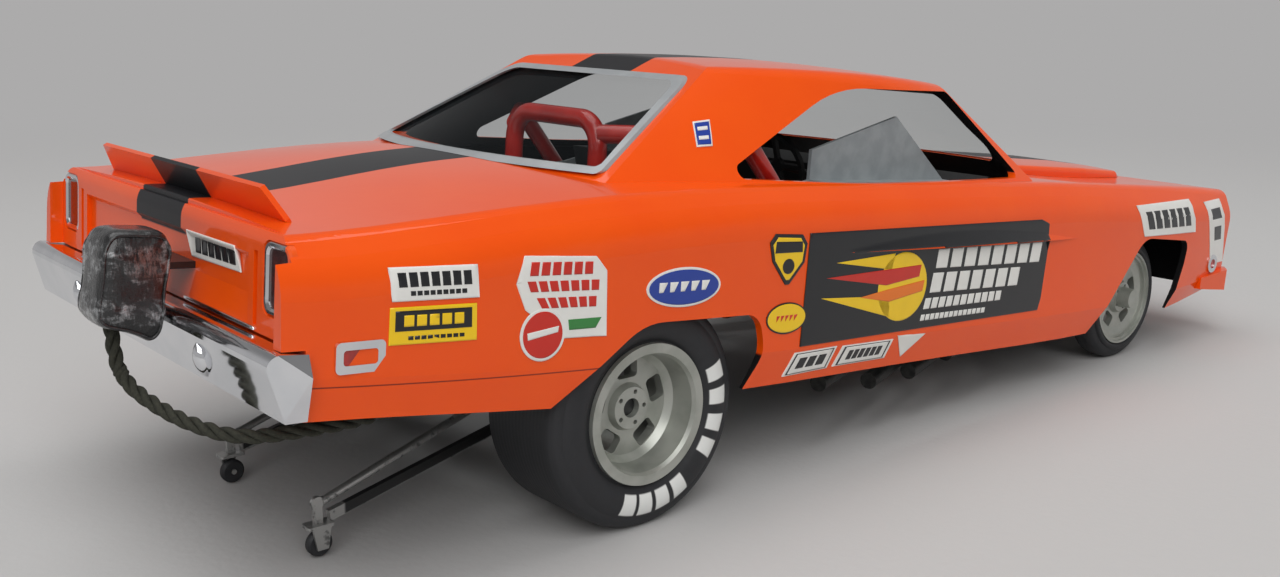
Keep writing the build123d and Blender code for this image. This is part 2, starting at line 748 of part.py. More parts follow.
# Rear axle in one revolved piece: round centre, housing tubes and spindles, with the bars' brackets
housing_end = REAR_FACE_X - REAR_TYRE_W - GAP
spindle_end = REAR_FACE_X - REAR_DISH
axle_line = Plane(origin=(0, REAR_AXLE_Y, REAR_TYRE_R), x_dir=(1, 0, 0), z_dir=(0, -1, 0))
with BuildPart() as rear_axle:
    with BuildSketch(axle_line):
        with BuildLine():
            ThreePointArc((-DIFF_HALF, HOUSING_R), (0, DIFF_R), (DIFF_HALF, HOUSING_R))
            Polyline(
                (DIFF_HALF, HOUSING_R),
                (housing_end, HOUSING_R),
                (housing_end, AXLE_R),
                (spindle_end, AXLE_R),
                (spindle_end, 0),
                (-spindle_end, 0),
                (-spindle_end, AXLE_R),
                (-housing_end, AXLE_R),
                (-housing_end, HOUSING_R),
                (-DIFF_HALF, HOUSING_R),
            )
        make_face()
    revolve(axis=Axis((0, REAR_AXLE_Y, REAR_TYRE_R), (1, 0, 0)))
    for side in (-1, 1):
        with BuildSketch(Plane.YZ.offset(side * BAR_X - BRACKET_T / 2)):
            with Locations((REAR_AXLE_Y, REAR_TYRE_R - BRACKET_H / 2)):
                Rectangle(BRACKET_W, BRACKET_H)
        extrude(amount=BRACKET_T)
save("rear_axle", rear_axle.part)

# Engine as one plain block between the rails, and the gearbox and shaft behind it
with BuildPart() as engine:
    with BuildSketch(Plane.XY.offset(ENGINE_LOW)):
        with Locations((0, REAR_AXLE_Y + ENGINE_Y)):
            Rectangle(2 * (RAIL_X - RAIL_R - 0.6), ENGINE_L)
    extrude(amount=ENGINE_H)
    chamfer(engine.faces().sort_by(Axis.Z)[-1].edges().filter_by(Axis.Y), length=4.0)
save("engine", engine.part)

# Gearbox and shaft in one revolved piece on the axle's height, from the engine to the rear axle
engine_rear = REAR_AXLE_Y + ENGINE_Y + ENGINE_L / 2 + FIT
shaft_end = REAR_AXLE_Y - DIFF_R - FIT
with BuildPart() as driveline:
    with BuildSketch(Plane.YZ):
        with BuildLine():
            Polyline(
                (engine_rear, REAR_TYRE_R),
                (engine_rear, REAR_TYRE_R + BELL_R),
                (engine_rear + BELL_L, REAR_TYRE_R + GEARBOX_R),
                (engine_rear + GEARBOX_L, REAR_TYRE_R + GEARBOX_R),
                (engine_rear + GEARBOX_L + 1.5, REAR_TYRE_R + AXLE_R),
                (shaft_end, REAR_TYRE_R + AXLE_R),
                (shaft_end, REAR_TYRE_R),
                close=True,
            )
        make_face()
    revolve(axis=Axis((0, 0, REAR_TYRE_R), (0, 1, 0)))
save("driveline", driveline.part)

# Exhaust headers: four pipes a side, out over the rail and back down under the sill
for name, side in (("headers_left", 1), ("headers_right", -1)):
    with BuildPart() as headers:
        for port_y, bend_x, bend_y, bend_z, tip_y, tip_z in HEADER_PIPES:
            points = (
                at(side * (RAIL_X - RAIL_R - 0.6 + FIT), port_y, PORT_Z),
                at(side * 16.0, port_y, PORT_Z),
                at(side * bend_x, bend_y, bend_z),
                at(side * HEADER_TIP_X, tip_y, tip_z),
            )
            add(pipe(points, PIPE_R, [2.6, 4.0]))
    save(name, headers.part)

# Roll cage: a hoop behind the seat, and a brace a side that bends down to the floor, welded in one
hoop_foot = 24.0
hoop_half = 10.0
hoop = [seat(x, CAGE_Y, z) for x, z in (
    (-hoop_half, hoop_foot),
    (-hoop_half, CAGE_TOP),
    (hoop_half, CAGE_TOP),
    (hoop_half, hoop_foot),
)]
with BuildPart() as roll_cage:
    add(pipe(hoop, CAGE_R, [4.0, 4.0]))
    for side in (-1, 1):
        brace_top = seat(side * 26.2, CAGE_Y - 12.5, 48.2)
        add(straight(seat(side * hoop_half, CAGE_Y, CAGE_TOP - 1.9), brace_top, CAGE_R))
        add(straight(brace_top, seat(side * 27.2, CAGE_Y - 31.2, 28.0), CAGE_R))
save("roll_cage", roll_cage.part)

# Interior: a tin floor with upright sides, the dash, the seat and the steering wheel
with BuildPart() as interior_tin:
    with BuildSketch(level(TIN_FLOOR)):
        with Locations((0, (TIN_FRONT + TIN_REAR) / 2)):
            Rectangle(2 * TIN_HALF, TIN_REAR - TIN_FRONT)
    extrude(amount=TIN_T)
    for side in (-1, 1):
        with BuildSketch(flank(side * TIN_HALF)):
            with BuildLine():
                Polyline(
                    (TIN_SIDE_FRONT, TIN_FLOOR),
                    (TIN_SIDE_FRONT, 42.2),
                    (-57.9, 52.0),
                    (-38.9, 46.6),
                    (-38.9, 42.2),
                    (-30.0, 40.0),
                    (TIN_REAR, 38.0),
                    (TIN_REAR, TIN_FLOOR),
                    close=True,
                )
            make_face()
        extrude(amount=-side * TIN_T)
        with BuildSketch(level(TIN_LEDGE_Z)):
            with Locations((side * (TIN_HALF + TIN_LEDGE_W / 2), (TIN_SIDE_FRONT - 38.9) / 2)):
                Rectangle(TIN_LEDGE_W, -38.9 - TIN_SIDE_FRONT)
        extrude(amount=-TIN_T)
save("interior_tin", interior_tin.part)

with BuildPart() as dash:
    with BuildSketch(flank(0)):
        with BuildLine():
            Polyline((-83.6, 42.1), (-77.0, 43.2), (-75.2, 41.5), (-76.8, 35.0), (-83.6, 35.0), close=True)
        make_face()
    extrude(amount=DASH_HALF, both=True)
save("dash", dash.part)

with BuildPart() as driver_seat:
    with BuildSketch(flank(0)):
        with BuildLine():
            Polyline(
                (-44.0, TIN_FLOOR + 0.62),
                (-44.0, 30.0),
                (-29.0, 28.0),
                (-22.5, 44.0),
                (-19.5, 44.0),
                (-25.0, TIN_FLOOR + 0.62),
                close=True,
            )
        make_face()
    extrude(amount=8.0, both=True)
save("driver_seat", driver_seat.part)

with BuildPart() as steering_wheel:
    with BuildSketch(Plane(BODY_SEAT * Location((0, WHEEL_Y, WHEEL_Z), (90 - 20, 0, 0)))):
        Circle(5.6)
        Circle(4.8, mode=Mode.SUBTRACT)
        Rectangle(10.0, 0.8)
        Rectangle(0.8, 10.0)
        Circle(1.2)
    extrude(amount=0.4, both=True)
    add(straight(seat(0, WHEEL_Y, WHEEL_Z), seat(0, -75.4, 38.6), 0.6))
save("steering_wheel", steering_wheel.part)


def wheel_profile(face_x, side, points):
    """A closed outline on the plane of the axle, from pairs of depth behind the face and radius."""
    return [(side * (face_x - depth), radius) for depth, radius in points]


# Tyres and rims: revolved about the axle, the rims pierced by slots, lug holes and the bore
TYRES = {
    "rear": (REAR_AXLE_Y, REAR_TYRE_R, REAR_TYRE_W, REAR_FACE_X, REAR_RIM_R, REAR_BEAD_R, REAR_DISH),
    "front": (FRONT_AXLE_Y, FRONT_TYRE_R, FRONT_TYRE_W, FRONT_FACE_X, FRONT_RIM_R, FRONT_BEAD_R, FRONT_DISH),
}
BEAD_IN = 0.9
TREAD_EDGE = 2.0
RIM_WALL = 0.8
DISC_T = 1.2
for axle, (axle_y, tyre_r, width, face_x, rim_r, bead_r, dish) in TYRES.items():
    shoulder = tyre_r - 1.6
    bulge = (rim_r + 0.2 + shoulder) / 2
    for hand, side in (("left", 1), ("right", -1)):
        spin = Axis((0, axle_y, tyre_r), (1, 0, 0))
        hub_plane = Plane(origin=(0, axle_y, tyre_r), x_dir=(1, 0, 0), z_dir=(0, -1, 0))
        sections = [
            (BEAD_IN, rim_r + 0.2),
            (0.0, bulge),
            (0.5, shoulder),
            (1.0, tyre_r - 0.45),
            (TREAD_EDGE, tyre_r),
            (width - TREAD_EDGE, tyre_r),
            (width - 1.0, tyre_r - 0.45),
            (width - 0.5, shoulder),
            (width, bulge),
            (width - BEAD_IN, rim_r + 0.2),
        ]
        outer_wall, _, outer_low, outer_mid, outer_edge = wheel_profile(face_x, side, sections[:5])
        inner_edge, inner_mid, inner_low, _, inner_wall = wheel_profile(face_x, side, sections[5:])
        outer_side, inner_side = wheel_profile(face_x, side, [sections[1], sections[8]])
        outer_bead, inner_bead = wheel_profile(face_x, side, [(BEAD_IN, bead_r), (width - BEAD_IN, bead_r)])
        with BuildPart() as tyre:
            with BuildSketch(hub_plane):
                with BuildLine():
                    Polyline(inner_wall, inner_bead, outer_bead, outer_wall)
                    ThreePointArc(outer_wall, outer_side, outer_low)
                    ThreePointArc(outer_low, outer_mid, outer_edge)
                    Line(outer_edge, inner_edge)
                    ThreePointArc(inner_edge, inner_mid, inner_low)
                    ThreePointArc(inner_low, inner_side, inner_wall)
                make_face()
            revolve(axis=spin)
        save(f"tire_{axle}_{hand}", tyre.part)

        # The front rims step inward in three polished rings, the rear ones drop straight to a deep dish
        lip = rim_r - 1.5
        steps = [(dish - 0.8, lip - 0.4), (0.7, lip), (0.2, lip + 0.3)]
        if axle == "front":
            steps = [(dish - 0.3, lip - 0.4), (1.1, lip), (1.1, lip + 0.5), (0.6, lip + 0.6), (0.6, lip + 1.0)]
            steps.append((0.2, lip + 1.1))
        with BuildPart() as rim:
            with BuildSketch(hub_plane):
                with BuildLine():
                    Polyline(
                        *wheel_profile(
                            face_x,
                            side,
                            [
                                (dish + DISC_T, AXLE_R + RUNNING_GAP),
                                (dish - 0.9, AXLE_R + RUNNING_GAP),
                                (dish - 0.9, HUB_R - 0.4),
                                (dish, HUB_R),
                                (dish, lip - 1.2),
                                *steps,
                                (0.2, rim_r),
                                (BEAD_IN - FIT, rim_r),
                                (BEAD_IN - FIT, bead_r - FIT),
                                (width - BEAD_IN, bead_r - FIT),
                                (width - BEAD_IN, bead_r - RIM_WALL),
                                (dish + 2.6, bead_r - RIM_WALL),
                                (dish + DISC_T, lip - 1.6),
                            ],
                        ),
                        close=True,
                    )
                make_face()
            revolve(axis=spin)
            disc = Plane(origin=(side * face_x, axle_y, tyre_r), x_dir=(0, side, 0), z_dir=(side, 0, 0))
            with BuildSketch(disc):
                with PolarLocations((HUB_R + lip - 0.8) / 2, SLOTS, start_angle=90):
                    RectangleRounded((lip - HUB_R) * 0.55, (lip - HUB_R) * 0.75, 0.6)
            extrude(amount=-(dish + 2.0), mode=Mode.SUBTRACT)
            with BuildSketch(disc):
                with PolarLocations(HUB_R - 1.0, LUGS):
                    Circle(LUG_R)
            extrude(amount=-(dish + 2.0), mode=Mode.SUBTRACT)
            if axle == "front":
                with BuildSketch(disc.offset(HUB_CAP_OUT)):
                    Circle(HUB_CAP_R)
                extrude(amount=-(HUB_CAP_OUT + dish - 0.6), taper=-6)
        save(f"wheel_{axle}_{hand}", rim.part)

# Wheelie bars: a round upper rod to an eye, a flat lower bar to a plate, and the plate's wheel bracket
for hand, side, tail_x, tail_y in BAR_TAILS:
    bracket_x = tail_x + side * (BAR_WHEEL_W / 2 + 0.2)
    upper_end = at(tail_x, tail_y - 0.6, BAR_EYE_Z)
    lower_start = Vector(at(side * BAR_X, BRACKET_W / 2 + 0.15, 10.2))
    lower_end = Vector(at(tail_x, tail_y - 1.4, BAR_PLATE_Z + BAR_PLATE_T + BAR_H / 2 - 0.1))
    run = lower_end - lower_start
    bar_section = Plane(origin=lower_start, x_dir=run.cross(Vector(0, 0, 1)), z_dir=run)
    with BuildPart() as wheelie_bar:
        add(straight(at(side * BAR_X, HOUSING_R + 0.2, REAR_TYRE_R + 0.2), upper_end, BAR_R))
        with BuildSketch(bar_section):
            Rectangle(BAR_W, BAR_H)
        extrude(amount=run.length)
        # Lug with the rod's eye, on the plate
        with BuildSketch(Plane.YZ.offset(tail_x - 0.3)):
            with Locations((REAR_AXLE_Y + tail_y, BAR_EYE_Z)):
                Circle(BAR_EYE_R)
            with Locations((REAR_AXLE_Y + tail_y, (BAR_EYE_Z + BAR_PLATE_Z) / 2)):
                Rectangle(1.1, BAR_EYE_Z - BAR_PLATE_Z)
        extrude(amount=0.6)
        # Flat plate over the wheel, and a tapered bracket down its outer side to the pin
        with BuildSketch(Plane.XY.offset(BAR_PLATE_Z)):
            with Locations((tail_x + side * 0.15, REAR_AXLE_Y + tail_y)):
                RectangleRounded(BAR_WHEEL_W + 0.9, 3.4, 0.4)
        extrude(amount=BAR_PLATE_T)
        with BuildSketch(Plane.YZ.offset(bracket_x)):
            Polygon(
                (REAR_AXLE_Y + tail_y - 1.2, BAR_PLATE_Z + BAR_PLATE_T),
                (REAR_AXLE_Y + tail_y - 0.7, BAR_WHEEL_Z - 0.5),
                (REAR_AXLE_Y + tail_y + 0.7, BAR_WHEEL_Z - 0.5),
                (REAR_AXLE_Y + tail_y + 1.2, BAR_PLATE_Z + BAR_PLATE_T),
                align=None,
            )
        extrude(amount=side * BAR_PLATE_T)
        with BuildSketch(Plane.YZ.offset(bracket_x)):
            with Locations((REAR_AXLE_Y + tail_y, BAR_WHEEL_Z)):
                Circle(BAR_PIN_R)
        extrude(amount=-side * (BAR_WHEEL_W + 0.35))
    save(f"wheelie_bar_{hand}", wheelie_bar.part)
    with BuildPart() as wheelie_wheel:
        with BuildSketch(Plane.YZ.offset(tail_x - BAR_WHEEL_W / 2)):
            with Locations((REAR_AXLE_Y + tail_y, BAR_WHEEL_Z)):
                Circle(BAR_WHEEL_R)
                Circle(BAR_PIN_R + RUNNING_GAP, mode=Mode.SUBTRACT)
        extrude(amount=BAR_WHEEL_W)
        chamfer(wheelie_wheel.edges().filter_by(GeomType.CIRCLE).sort_by(SortBy.RADIUS)[-2:], length=0.3)
    save(f"wheelie_wheel_{hand}", wheelie_wheel.part)

# Parachute pack: it leans on a bracket behind the bumper, which stands on the tail panel
lean = radians(PACK_LEAN)
pack_seat = BODY_SEAT * Location((PACK_X, PACK_FRONT + PACK_D / 2 / cos(lean), PACK_Z), (PACK_LEAN, 0, 0))
with BuildPart() as parachute_pack:
    with BuildSketch(Plane(pack_seat).offset(-PACK_H / 2)):
        RectangleRounded(PACK_W, PACK_D, PACK_CORNER_R)
    extrude(amount=PACK_H)
    fillet(parachute_pack.faces().sort_by(Axis.Z)[-1].edges(), radius=PACK_CORNER_R)
    chamfer(parachute_pack.faces().sort_by(Axis.Z)[0].edges(), length=0.6)
save("parachute_pack", parachute_pack.part)

# The bracket's arm stands on the sunk panel, and its plate lies along the pack's front at a small gap
tray_front_y = PACK_FRONT - GAP / cos(lean)
tray_top = PACK_Z + TRAY_H / 2
plate_shift = TRAY_H / 2 * tan(lean)
with BuildPart() as parachute_bracket:
    with BuildSketch(flank(PACK_X - TRAY_W / 2)):
        with BuildLine():
            Polyline(
                (panel_sunk + FIT, tray_top - TRAY_T),
                (panel_sunk + FIT, tray_top),
                (tray_front_y - plate_shift, tray_top),
                (tray_front_y + plate_shift, PACK_Z - TRAY_H / 2),
                (tray_front_y + plate_shift - TRAY_T, PACK_Z - TRAY_H / 2),
                (tray_front_y - plate_shift - TRAY_T, tray_top - TRAY_T),
                close=True,
            )
        make_face()
    extrude(amount=TRAY_W)
save("parachute_bracket", parachute_bracket.part)

# Rope tether from the pack's underside, under the bumper's right end and in to the right rail
TETHER_ROUTE = [at(*point) for point in TETHER_POINTS]
tether_radii = bent(TETHER_ROUTE)
print("tether radii", [round(r, 1) for r in tether_radii])
tether = pipe(TETHER_ROUTE, TETHER_D / 2, tether_radii)
print("tether length", round(tether.volume / (pi * TETHER_D**2 / 4), 1))
save("tether", tether)
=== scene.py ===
# %% [markdown]
# # A 1:25 model of a hardtop drag racing car
# The solids come from the CAD frame, which is in metres with +Z up, the car's front towards -Y and
# its left side towards +X. This script gives the solids their finishes and adds what solids don't
# carry: the rope, the leather pack, the labels and the marks on a tyre.

# %% Load the frame
import math

import bmesh
import bpy
import numpy as np
from mathutils import Matrix, Vector


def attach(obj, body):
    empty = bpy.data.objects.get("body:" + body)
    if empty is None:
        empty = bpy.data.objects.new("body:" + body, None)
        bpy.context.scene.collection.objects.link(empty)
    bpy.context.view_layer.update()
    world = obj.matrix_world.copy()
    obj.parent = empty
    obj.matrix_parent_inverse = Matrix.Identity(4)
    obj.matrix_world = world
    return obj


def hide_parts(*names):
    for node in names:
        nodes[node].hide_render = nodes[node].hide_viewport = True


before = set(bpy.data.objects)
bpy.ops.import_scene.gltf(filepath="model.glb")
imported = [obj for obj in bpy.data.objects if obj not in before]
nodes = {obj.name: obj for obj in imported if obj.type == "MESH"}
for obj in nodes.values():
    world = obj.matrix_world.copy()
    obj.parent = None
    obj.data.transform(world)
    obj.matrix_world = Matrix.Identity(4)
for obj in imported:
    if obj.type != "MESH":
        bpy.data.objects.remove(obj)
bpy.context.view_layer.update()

# %% [markdown]
# The body of the real model sits nose down on its wheels. Its own lines are easier to give in a
# level frame, whose origin is on the floor under the rear axle, so one function carries points from
# there to the seat on the chassis. Millimetres are handier than metres at this size.

# %% Places on the body
MM = 0.001
REAR_AXLE_Y = 50.09
RAKE = math.radians(4.87)


def seated(points):
    """Millimetres of the level body frame to metres of the scene: turned by the rake about the X
    axis through the origin, then moved back to the rear axle."""
    x, y, z = np.moveaxis(np.asarray(points, float), -1, 0)
    back = y * math.cos(RAKE) - z * math.sin(RAKE) + REAR_AXLE_Y
    up = y * math.sin(RAKE) + z * math.cos(RAKE)
    return np.stack([x, back, up], axis=-1) * MM


def behind_axle(points):
    """Millimetres measured from the rear axle, above the floor, to metres of the scene."""
    return (np.asarray(points, float) + (0, REAR_AXLE_Y, 0)) * MM


# %% [markdown]
# The camera comes first, so every later choice can be judged against the photograph. It is given by
# the point it looks at, two angles, its distance and a slight roll. A camera looks along its own -Z,
# so the third column of its rotation points back from the scene to the camera.

# %% Camera
CAMERA_TARGET = (77.12, -96.989 + REAR_AXLE_Y, -3.9)
CAMERA_AZIMUTH, CAMERA_ELEVATION, CAMERA_ROLL = 229.149, 13.041, 0.489
CAMERA_DISTANCE = 308.441
FOCAL_PIXELS, FRAME_PIXELS = 1286.48, 1280


def photo_camera():
    """A perspective camera: back = (sin a cos e, -cos a cos e, sin e), right = up x back, both rolled."""
    azimuth, elevation, roll = np.radians([CAMERA_AZIMUTH, CAMERA_ELEVATION, CAMERA_ROLL])
    back = np.array(
        [
            np.sin(azimuth) * np.cos(elevation),
            -np.cos(azimuth) * np.cos(elevation),
            np.sin(elevation),
        ]
    )
    right = np.cross((0, 0, 1), back)
    right /= np.linalg.norm(right)
    up = np.cross(back, right)
    rolled_right = right * np.cos(roll) + up * np.sin(roll)
    rolled_up = up * np.cos(roll) - right * np.sin(roll)
    data = bpy.data.cameras.new("photo_camera")
    data.sensor_width = 36
    data.lens = FOCAL_PIXELS / FRAME_PIXELS * data.sensor_width
    data.clip_start = 0.01
    camera = bpy.data.objects.new("photo_camera", data)
    bpy.context.scene.collection.objects.link(camera)
    place = np.eye(4)
    place[:3, 0], place[:3, 1], place[:3, 2] = rolled_right, rolled_up, back
    place[:3, 3] = (np.array(CAMERA_TARGET) + back * CAMERA_DISTANCE) * MM
    camera.matrix_world = Matrix(place.tolist())
    bpy.context.scene.camera = camera
    return camera


camera = photo_camera()
print("camera at", [round(v * 1000, 1) for v in camera.matrix_world.translation], "mm")

# %% [markdown]
# A material is a tree of nodes, and long sums of nodes are hard to read. So a link between nodes is
# wrapped in a small class whose operators add the Math nodes: `1 - mask * 0.5` builds the tree. Every
# other node comes from one method, which sets the node's own settings first and then its sockets.

# %% Shader maths
class Link:
    """One output socket. Arithmetic on it adds Math nodes to its tree."""

    def __init__(self, finish, socket):
        self.finish, self.socket = finish, socket

    @property
    def node(self):
        return self.socket.node

    def maths(self, operation, *values):
        return self.finish.node("ShaderNodeMath", {"operation": operation}, values)

    def __add__(self, other):
        return self.maths("ADD", self, other)

    def __sub__(self, other):
        return self.maths("SUBTRACT", self, other)

    def __rsub__(self, other):
        return self.maths("SUBTRACT", other, self)

    def __mul__(self, other):
        return self.maths("MULTIPLY", self, other)

    def __truediv__(self, other):
        return self.maths("DIVIDE", self, other)

    def __pow__(self, other):
        return self.maths("POWER", self, other)

    def __abs__(self):
        return self.maths("ABSOLUTE", self)

    def __neg__(self):
        return self * -1

    __radd__, __rmul__ = __add__, __mul__

    def lesser(self, other):
        return self.maths("MINIMUM", self, other)

    def greater(self, other):
        return self.maths("MAXIMUM", self, other)

    def sine(self):
        return self.maths("SINE", self)

    def below(self, limit, blur):
        """1 where this is under the limit and 0 above it, with a soft edge of width blur."""
        return self.finish.node(
            "ShaderNodeMapRange",
            {"interpolation_type": "SMOOTHSTEP"},
            {
                "Value": self,
                "From Min": limit - blur,
                "From Max": limit + blur,
                "To Min": 1.0,
                "To Max": 0.0,
            },
        )

    def above(self, limit, blur):
        return 1 - self.below(limit, blur)


class Finish:
    """One material: a Principled shader, and the methods that add nodes in front of it."""

    def __init__(self, name, **sockets):
        self.material = bpy.data.materials.new(name)
        self.material.use_nodes = True
        self.tree = self.material.node_tree
        self.shader = self.tree.nodes["Principled BSDF"]
        self.set(**sockets)

    def put(self, socket, value):
        """A link, a plain number or a colour goes to a socket."""
        if isinstance(value, Link):
            self.tree.links.new(value.socket, socket)
        else:
            socket.default_value = value

    def set(self, **sockets):
        """Base_Color=... sets the Principled shader's socket Base Color."""
        for name, value in sockets.items():
            self.put(self.shader.inputs[name.replace("_", " ")], value)
        return self

    def node(self, kind, settings=None, values=(), output=0):
        """A node by its type: its settings, then its inputs by name or in order, then one output."""
        made = self.tree.nodes.new(kind)
        for name, value in (settings or {}).items():
            setattr(made, name, value)
        pairs = values.items() if isinstance(values, dict) else enumerate(values)
        for key, value in pairs:
            self.put(made.inputs[key], value)
        return Link(self, made.outputs[output])

    def place(self):
        """The point on the object, as three links in millimetres."""
        point = self.node("ShaderNodeTexCoord", output="Object")
        parts = [self.node("ShaderNodeSeparateXYZ", {}, (point,), axis) for axis in "XYZ"]
        return [part * 1000 for part in parts]

    def level_place(self):
        """The point in the level body frame, in millimetres: the rake turned back."""
        x, y, z = self.place()
        y = y - REAR_AXLE_Y
        cos, sin = math.cos(RAKE), math.sin(RAKE)
        return x, y * cos + z * sin, z * cos - y * sin

    def noise(self, size, detail=2.0, roughness=0.5, stretch=(1, 1, 1)):
        """Clouds whose blobs are about size millimetres across, from 0 to 1."""
        point = self.node("ShaderNodeTexCoord", output="Object")
        wide = self.node("ShaderNodeVectorMath", {"operation": "MULTIPLY"}, (point, stretch))
        return self.node(
            "ShaderNodeTexNoise",
            {},
            {"Vector": wide, "Scale": 1000 / size, "Detail": detail, "Roughness": roughness},
            "Fac",
        )

    def mix(self, factor, first, second):
        """Between two colours: the first where factor is 0, the second where it is 1."""
        made = self.tree.nodes.new("ShaderNodeMix")
        made.data_type = "RGBA"
        for socket, value in zip((made.inputs[0], made.inputs[6], made.inputs[7]), (factor, first, second)):
            self.put(socket, value)
        return Link(self, made.outputs[2])

    def bump(self, height, distance, strength=1.0):
        """A Bump node: height from 0 to 1 stands for distance millimetres."""
        self.set(
            Normal=self.node(
                "ShaderNodeBump", {}, {"Strength": strength, "Distance": distance * MM, "Height": height}
            )
        )
        return self


def colour(red, green, blue):
    """An sRGB colour, 0 to 255, as the linear values that a shader takes."""
    part = np.array([red, green, blue]) / 255
    linear = np.where(part <= 0.04045, part / 12.92, ((part + 0.055) / 1.055) ** 2.4)
    return (*linear.tolist(), 1.0)


def wear(finish, *names):
    """Gives a finish to CAD solids. Their shape stays as it is."""
    for name in names:
        nodes[name].data.materials.clear()
        nodes[name].data.materials.append(finish.material)


# %% [markdown]
# The model stands on a plain pale floor. Two large soft lamps and a pale sky do the lighting, and a
# third, weak lamp fills in from the front without being mirrored in the paint. A floor that is lit
# from nearby grows dark far away, and would meet the sky in a hard line. So its far part is a plain
# glow of the sky's tone, but only for rays from the camera and for reflections: the model itself gets
# no light from it, and the floor near the wheels keeps its shadow. The sky is dimmer overhead, as a
# ceiling is, for contrast in the chrome.

# %% Stage and light
FLOOR_TONE = colour(192, 191, 190)
SKY_TONE = colour(172, 171, 171)
FLOOR_HALF = 9.0
FLOOR_GRAIN, FLOOR_GRAIN_HEIGHT = 1.2, 0.05
GLOW_FROM, GLOW_BLUR = 360, 190
LAMPS = (
    # name, place, the point it faces, size in metres, watts, whether the paint mirrors it
    ("side_lamp", (-0.75, 0.55, 0.85), (0, 0, 0.03), 1.0, 9.4, True),
    ("roof_lamp", (0.15, 0.1, 1.1), (0, 0, 0), 1.0, 6.2, True),
    ("front_lamp", (-0.1, -1.2, 0.8), (0, 0, 0.02), 0.6, 3.4, False),
)
SKY_LIGHT = 0.75
CEILING = 0.45
CEILING_FROM, CEILING_TO = 0.2, 0.55


def grid_faces(rows, columns, wrap_rows=False, wrap_columns=False):
    """Four-cornered faces between the points of a rows x columns grid, numbered row by row."""
    row, column = np.meshgrid(
        np.arange(rows if wrap_rows else rows - 1),
        np.arange(columns if wrap_columns else columns - 1),
        indexing="ij",
    )
    below, right = (row + 1) % rows, (column + 1) % columns
    corners = [
        row * columns + column,
        below * columns + column,
        below * columns + right,
        row * columns + right,
    ]
    return np.stack(corners, axis=-1).reshape(-1, 4)


def new_piece(name, points, faces, finish, smooth=True):
    """A mesh object from points in metres, an array (n, 3), and four-cornered faces, an array (m, 4)."""
    mesh = bpy.data.meshes.new(name)
    mesh.vertices.add(len(points))
    mesh.vertices.foreach_set("co", np.ascontiguousarray(points, np.float32).ravel())
    mesh.loops.add(faces.size)
    mesh.loops.foreach_set("vertex_index", faces.astype(np.int32).ravel())
    mesh.polygons.add(len(faces))
    mesh.polygons.foreach_set("loop_start", np.arange(0, faces.size, 4, dtype=np.int32))
    mesh.polygons.foreach_set("use_smooth", np.full(len(faces), smooth))
    mesh.update(calc_edges=True)
    mesh.validate()
    mesh.materials.append(finish.material)
    piece = bpy.data.objects.new(name, mesh)
    bpy.context.scene.collection.objects.link(piece)
    return piece


def seen_rays(finish):
    """1 for rays from the camera, from a reflection or through glass, and 0 for rays of light."""
    kinds = ["Is Camera Ray", "Is Glossy Ray", "Is Transmission Ray"]
    camera_ray, glossy_ray, clear_ray = (finish.node("ShaderNodeLightPath", output=kind) for kind in kinds)
    return camera_ray.greater(glossy_ray).greater(clear_ray)


floor_finish = Finish("floor", Base_Color=FLOOR_TONE, Roughness=0.75)
across, back = floor_finish.place()[:2]
away = (across * across + back * back) ** 0.5
floor_finish.bump(floor_finish.noise(FLOOR_GRAIN), FLOOR_GRAIN_HEIGHT)
glow = floor_finish.node("ShaderNodeEmission", {}, {"Color": SKY_TONE, "Strength": 1.0})
far_share = away.above(GLOW_FROM, GLOW_BLUR) * seen_rays(floor_finish)
floor_look = floor_finish.node("ShaderNodeMixShader", {}, (far_share,))
floor_finish.put(floor_look.node.inputs[1], Link(floor_finish, floor_finish.shader.outputs["BSDF"]))
floor_finish.put(floor_look.node.inputs[2], glow)
floor_finish.put(floor_finish.tree.nodes["Material Output"].inputs["Surface"], floor_look)
corners = np.linspace(-FLOOR_HALF, FLOOR_HALF, 2)
across, along = np.meshgrid(corners, corners, indexing="ij")
floor_points = np.stack([across, along, np.zeros_like(across)], -1).reshape(-1, 3)
floor = new_piece("floor", floor_points, grid_faces(2, 2)[:, ::-1], floor_finish)


def lamp(name, place, aim, size, power, mirrored):
    """A square area lamp of size metres and power watts, turned to face a point."""
    data = bpy.data.lights.new(name, "AREA")
    data.shape, data.size, data.energy = "SQUARE", size, power
    made = bpy.data.objects.new(name, data)
    made.location = place
    made.rotation_euler = (Vector(aim) - Vector(place)).to_track_quat("-Z", "Y").to_euler()
    made.visible_glossy = mirrored
    bpy.context.scene.collection.objects.link(made)


for lamp_row in LAMPS:
    lamp(*lamp_row)

sky = bpy.data.worlds.new("studio")
bpy.context.scene.world = sky
sky.use_nodes = True


def sky_node(kind, *sources, **settings):
    """A node of the sky: its settings, its first inputs fed in order, and its first output."""
    made = sky.node_tree.nodes.new(kind)
    for name, value in settings.items():
        setattr(made, name, value)
    for socket, source in zip(made.inputs, sources):
        if isinstance(source, (int, float)):
            socket.default_value = source
        else:
            sky.node_tree.links.new(source, socket)
    return made.outputs[0]


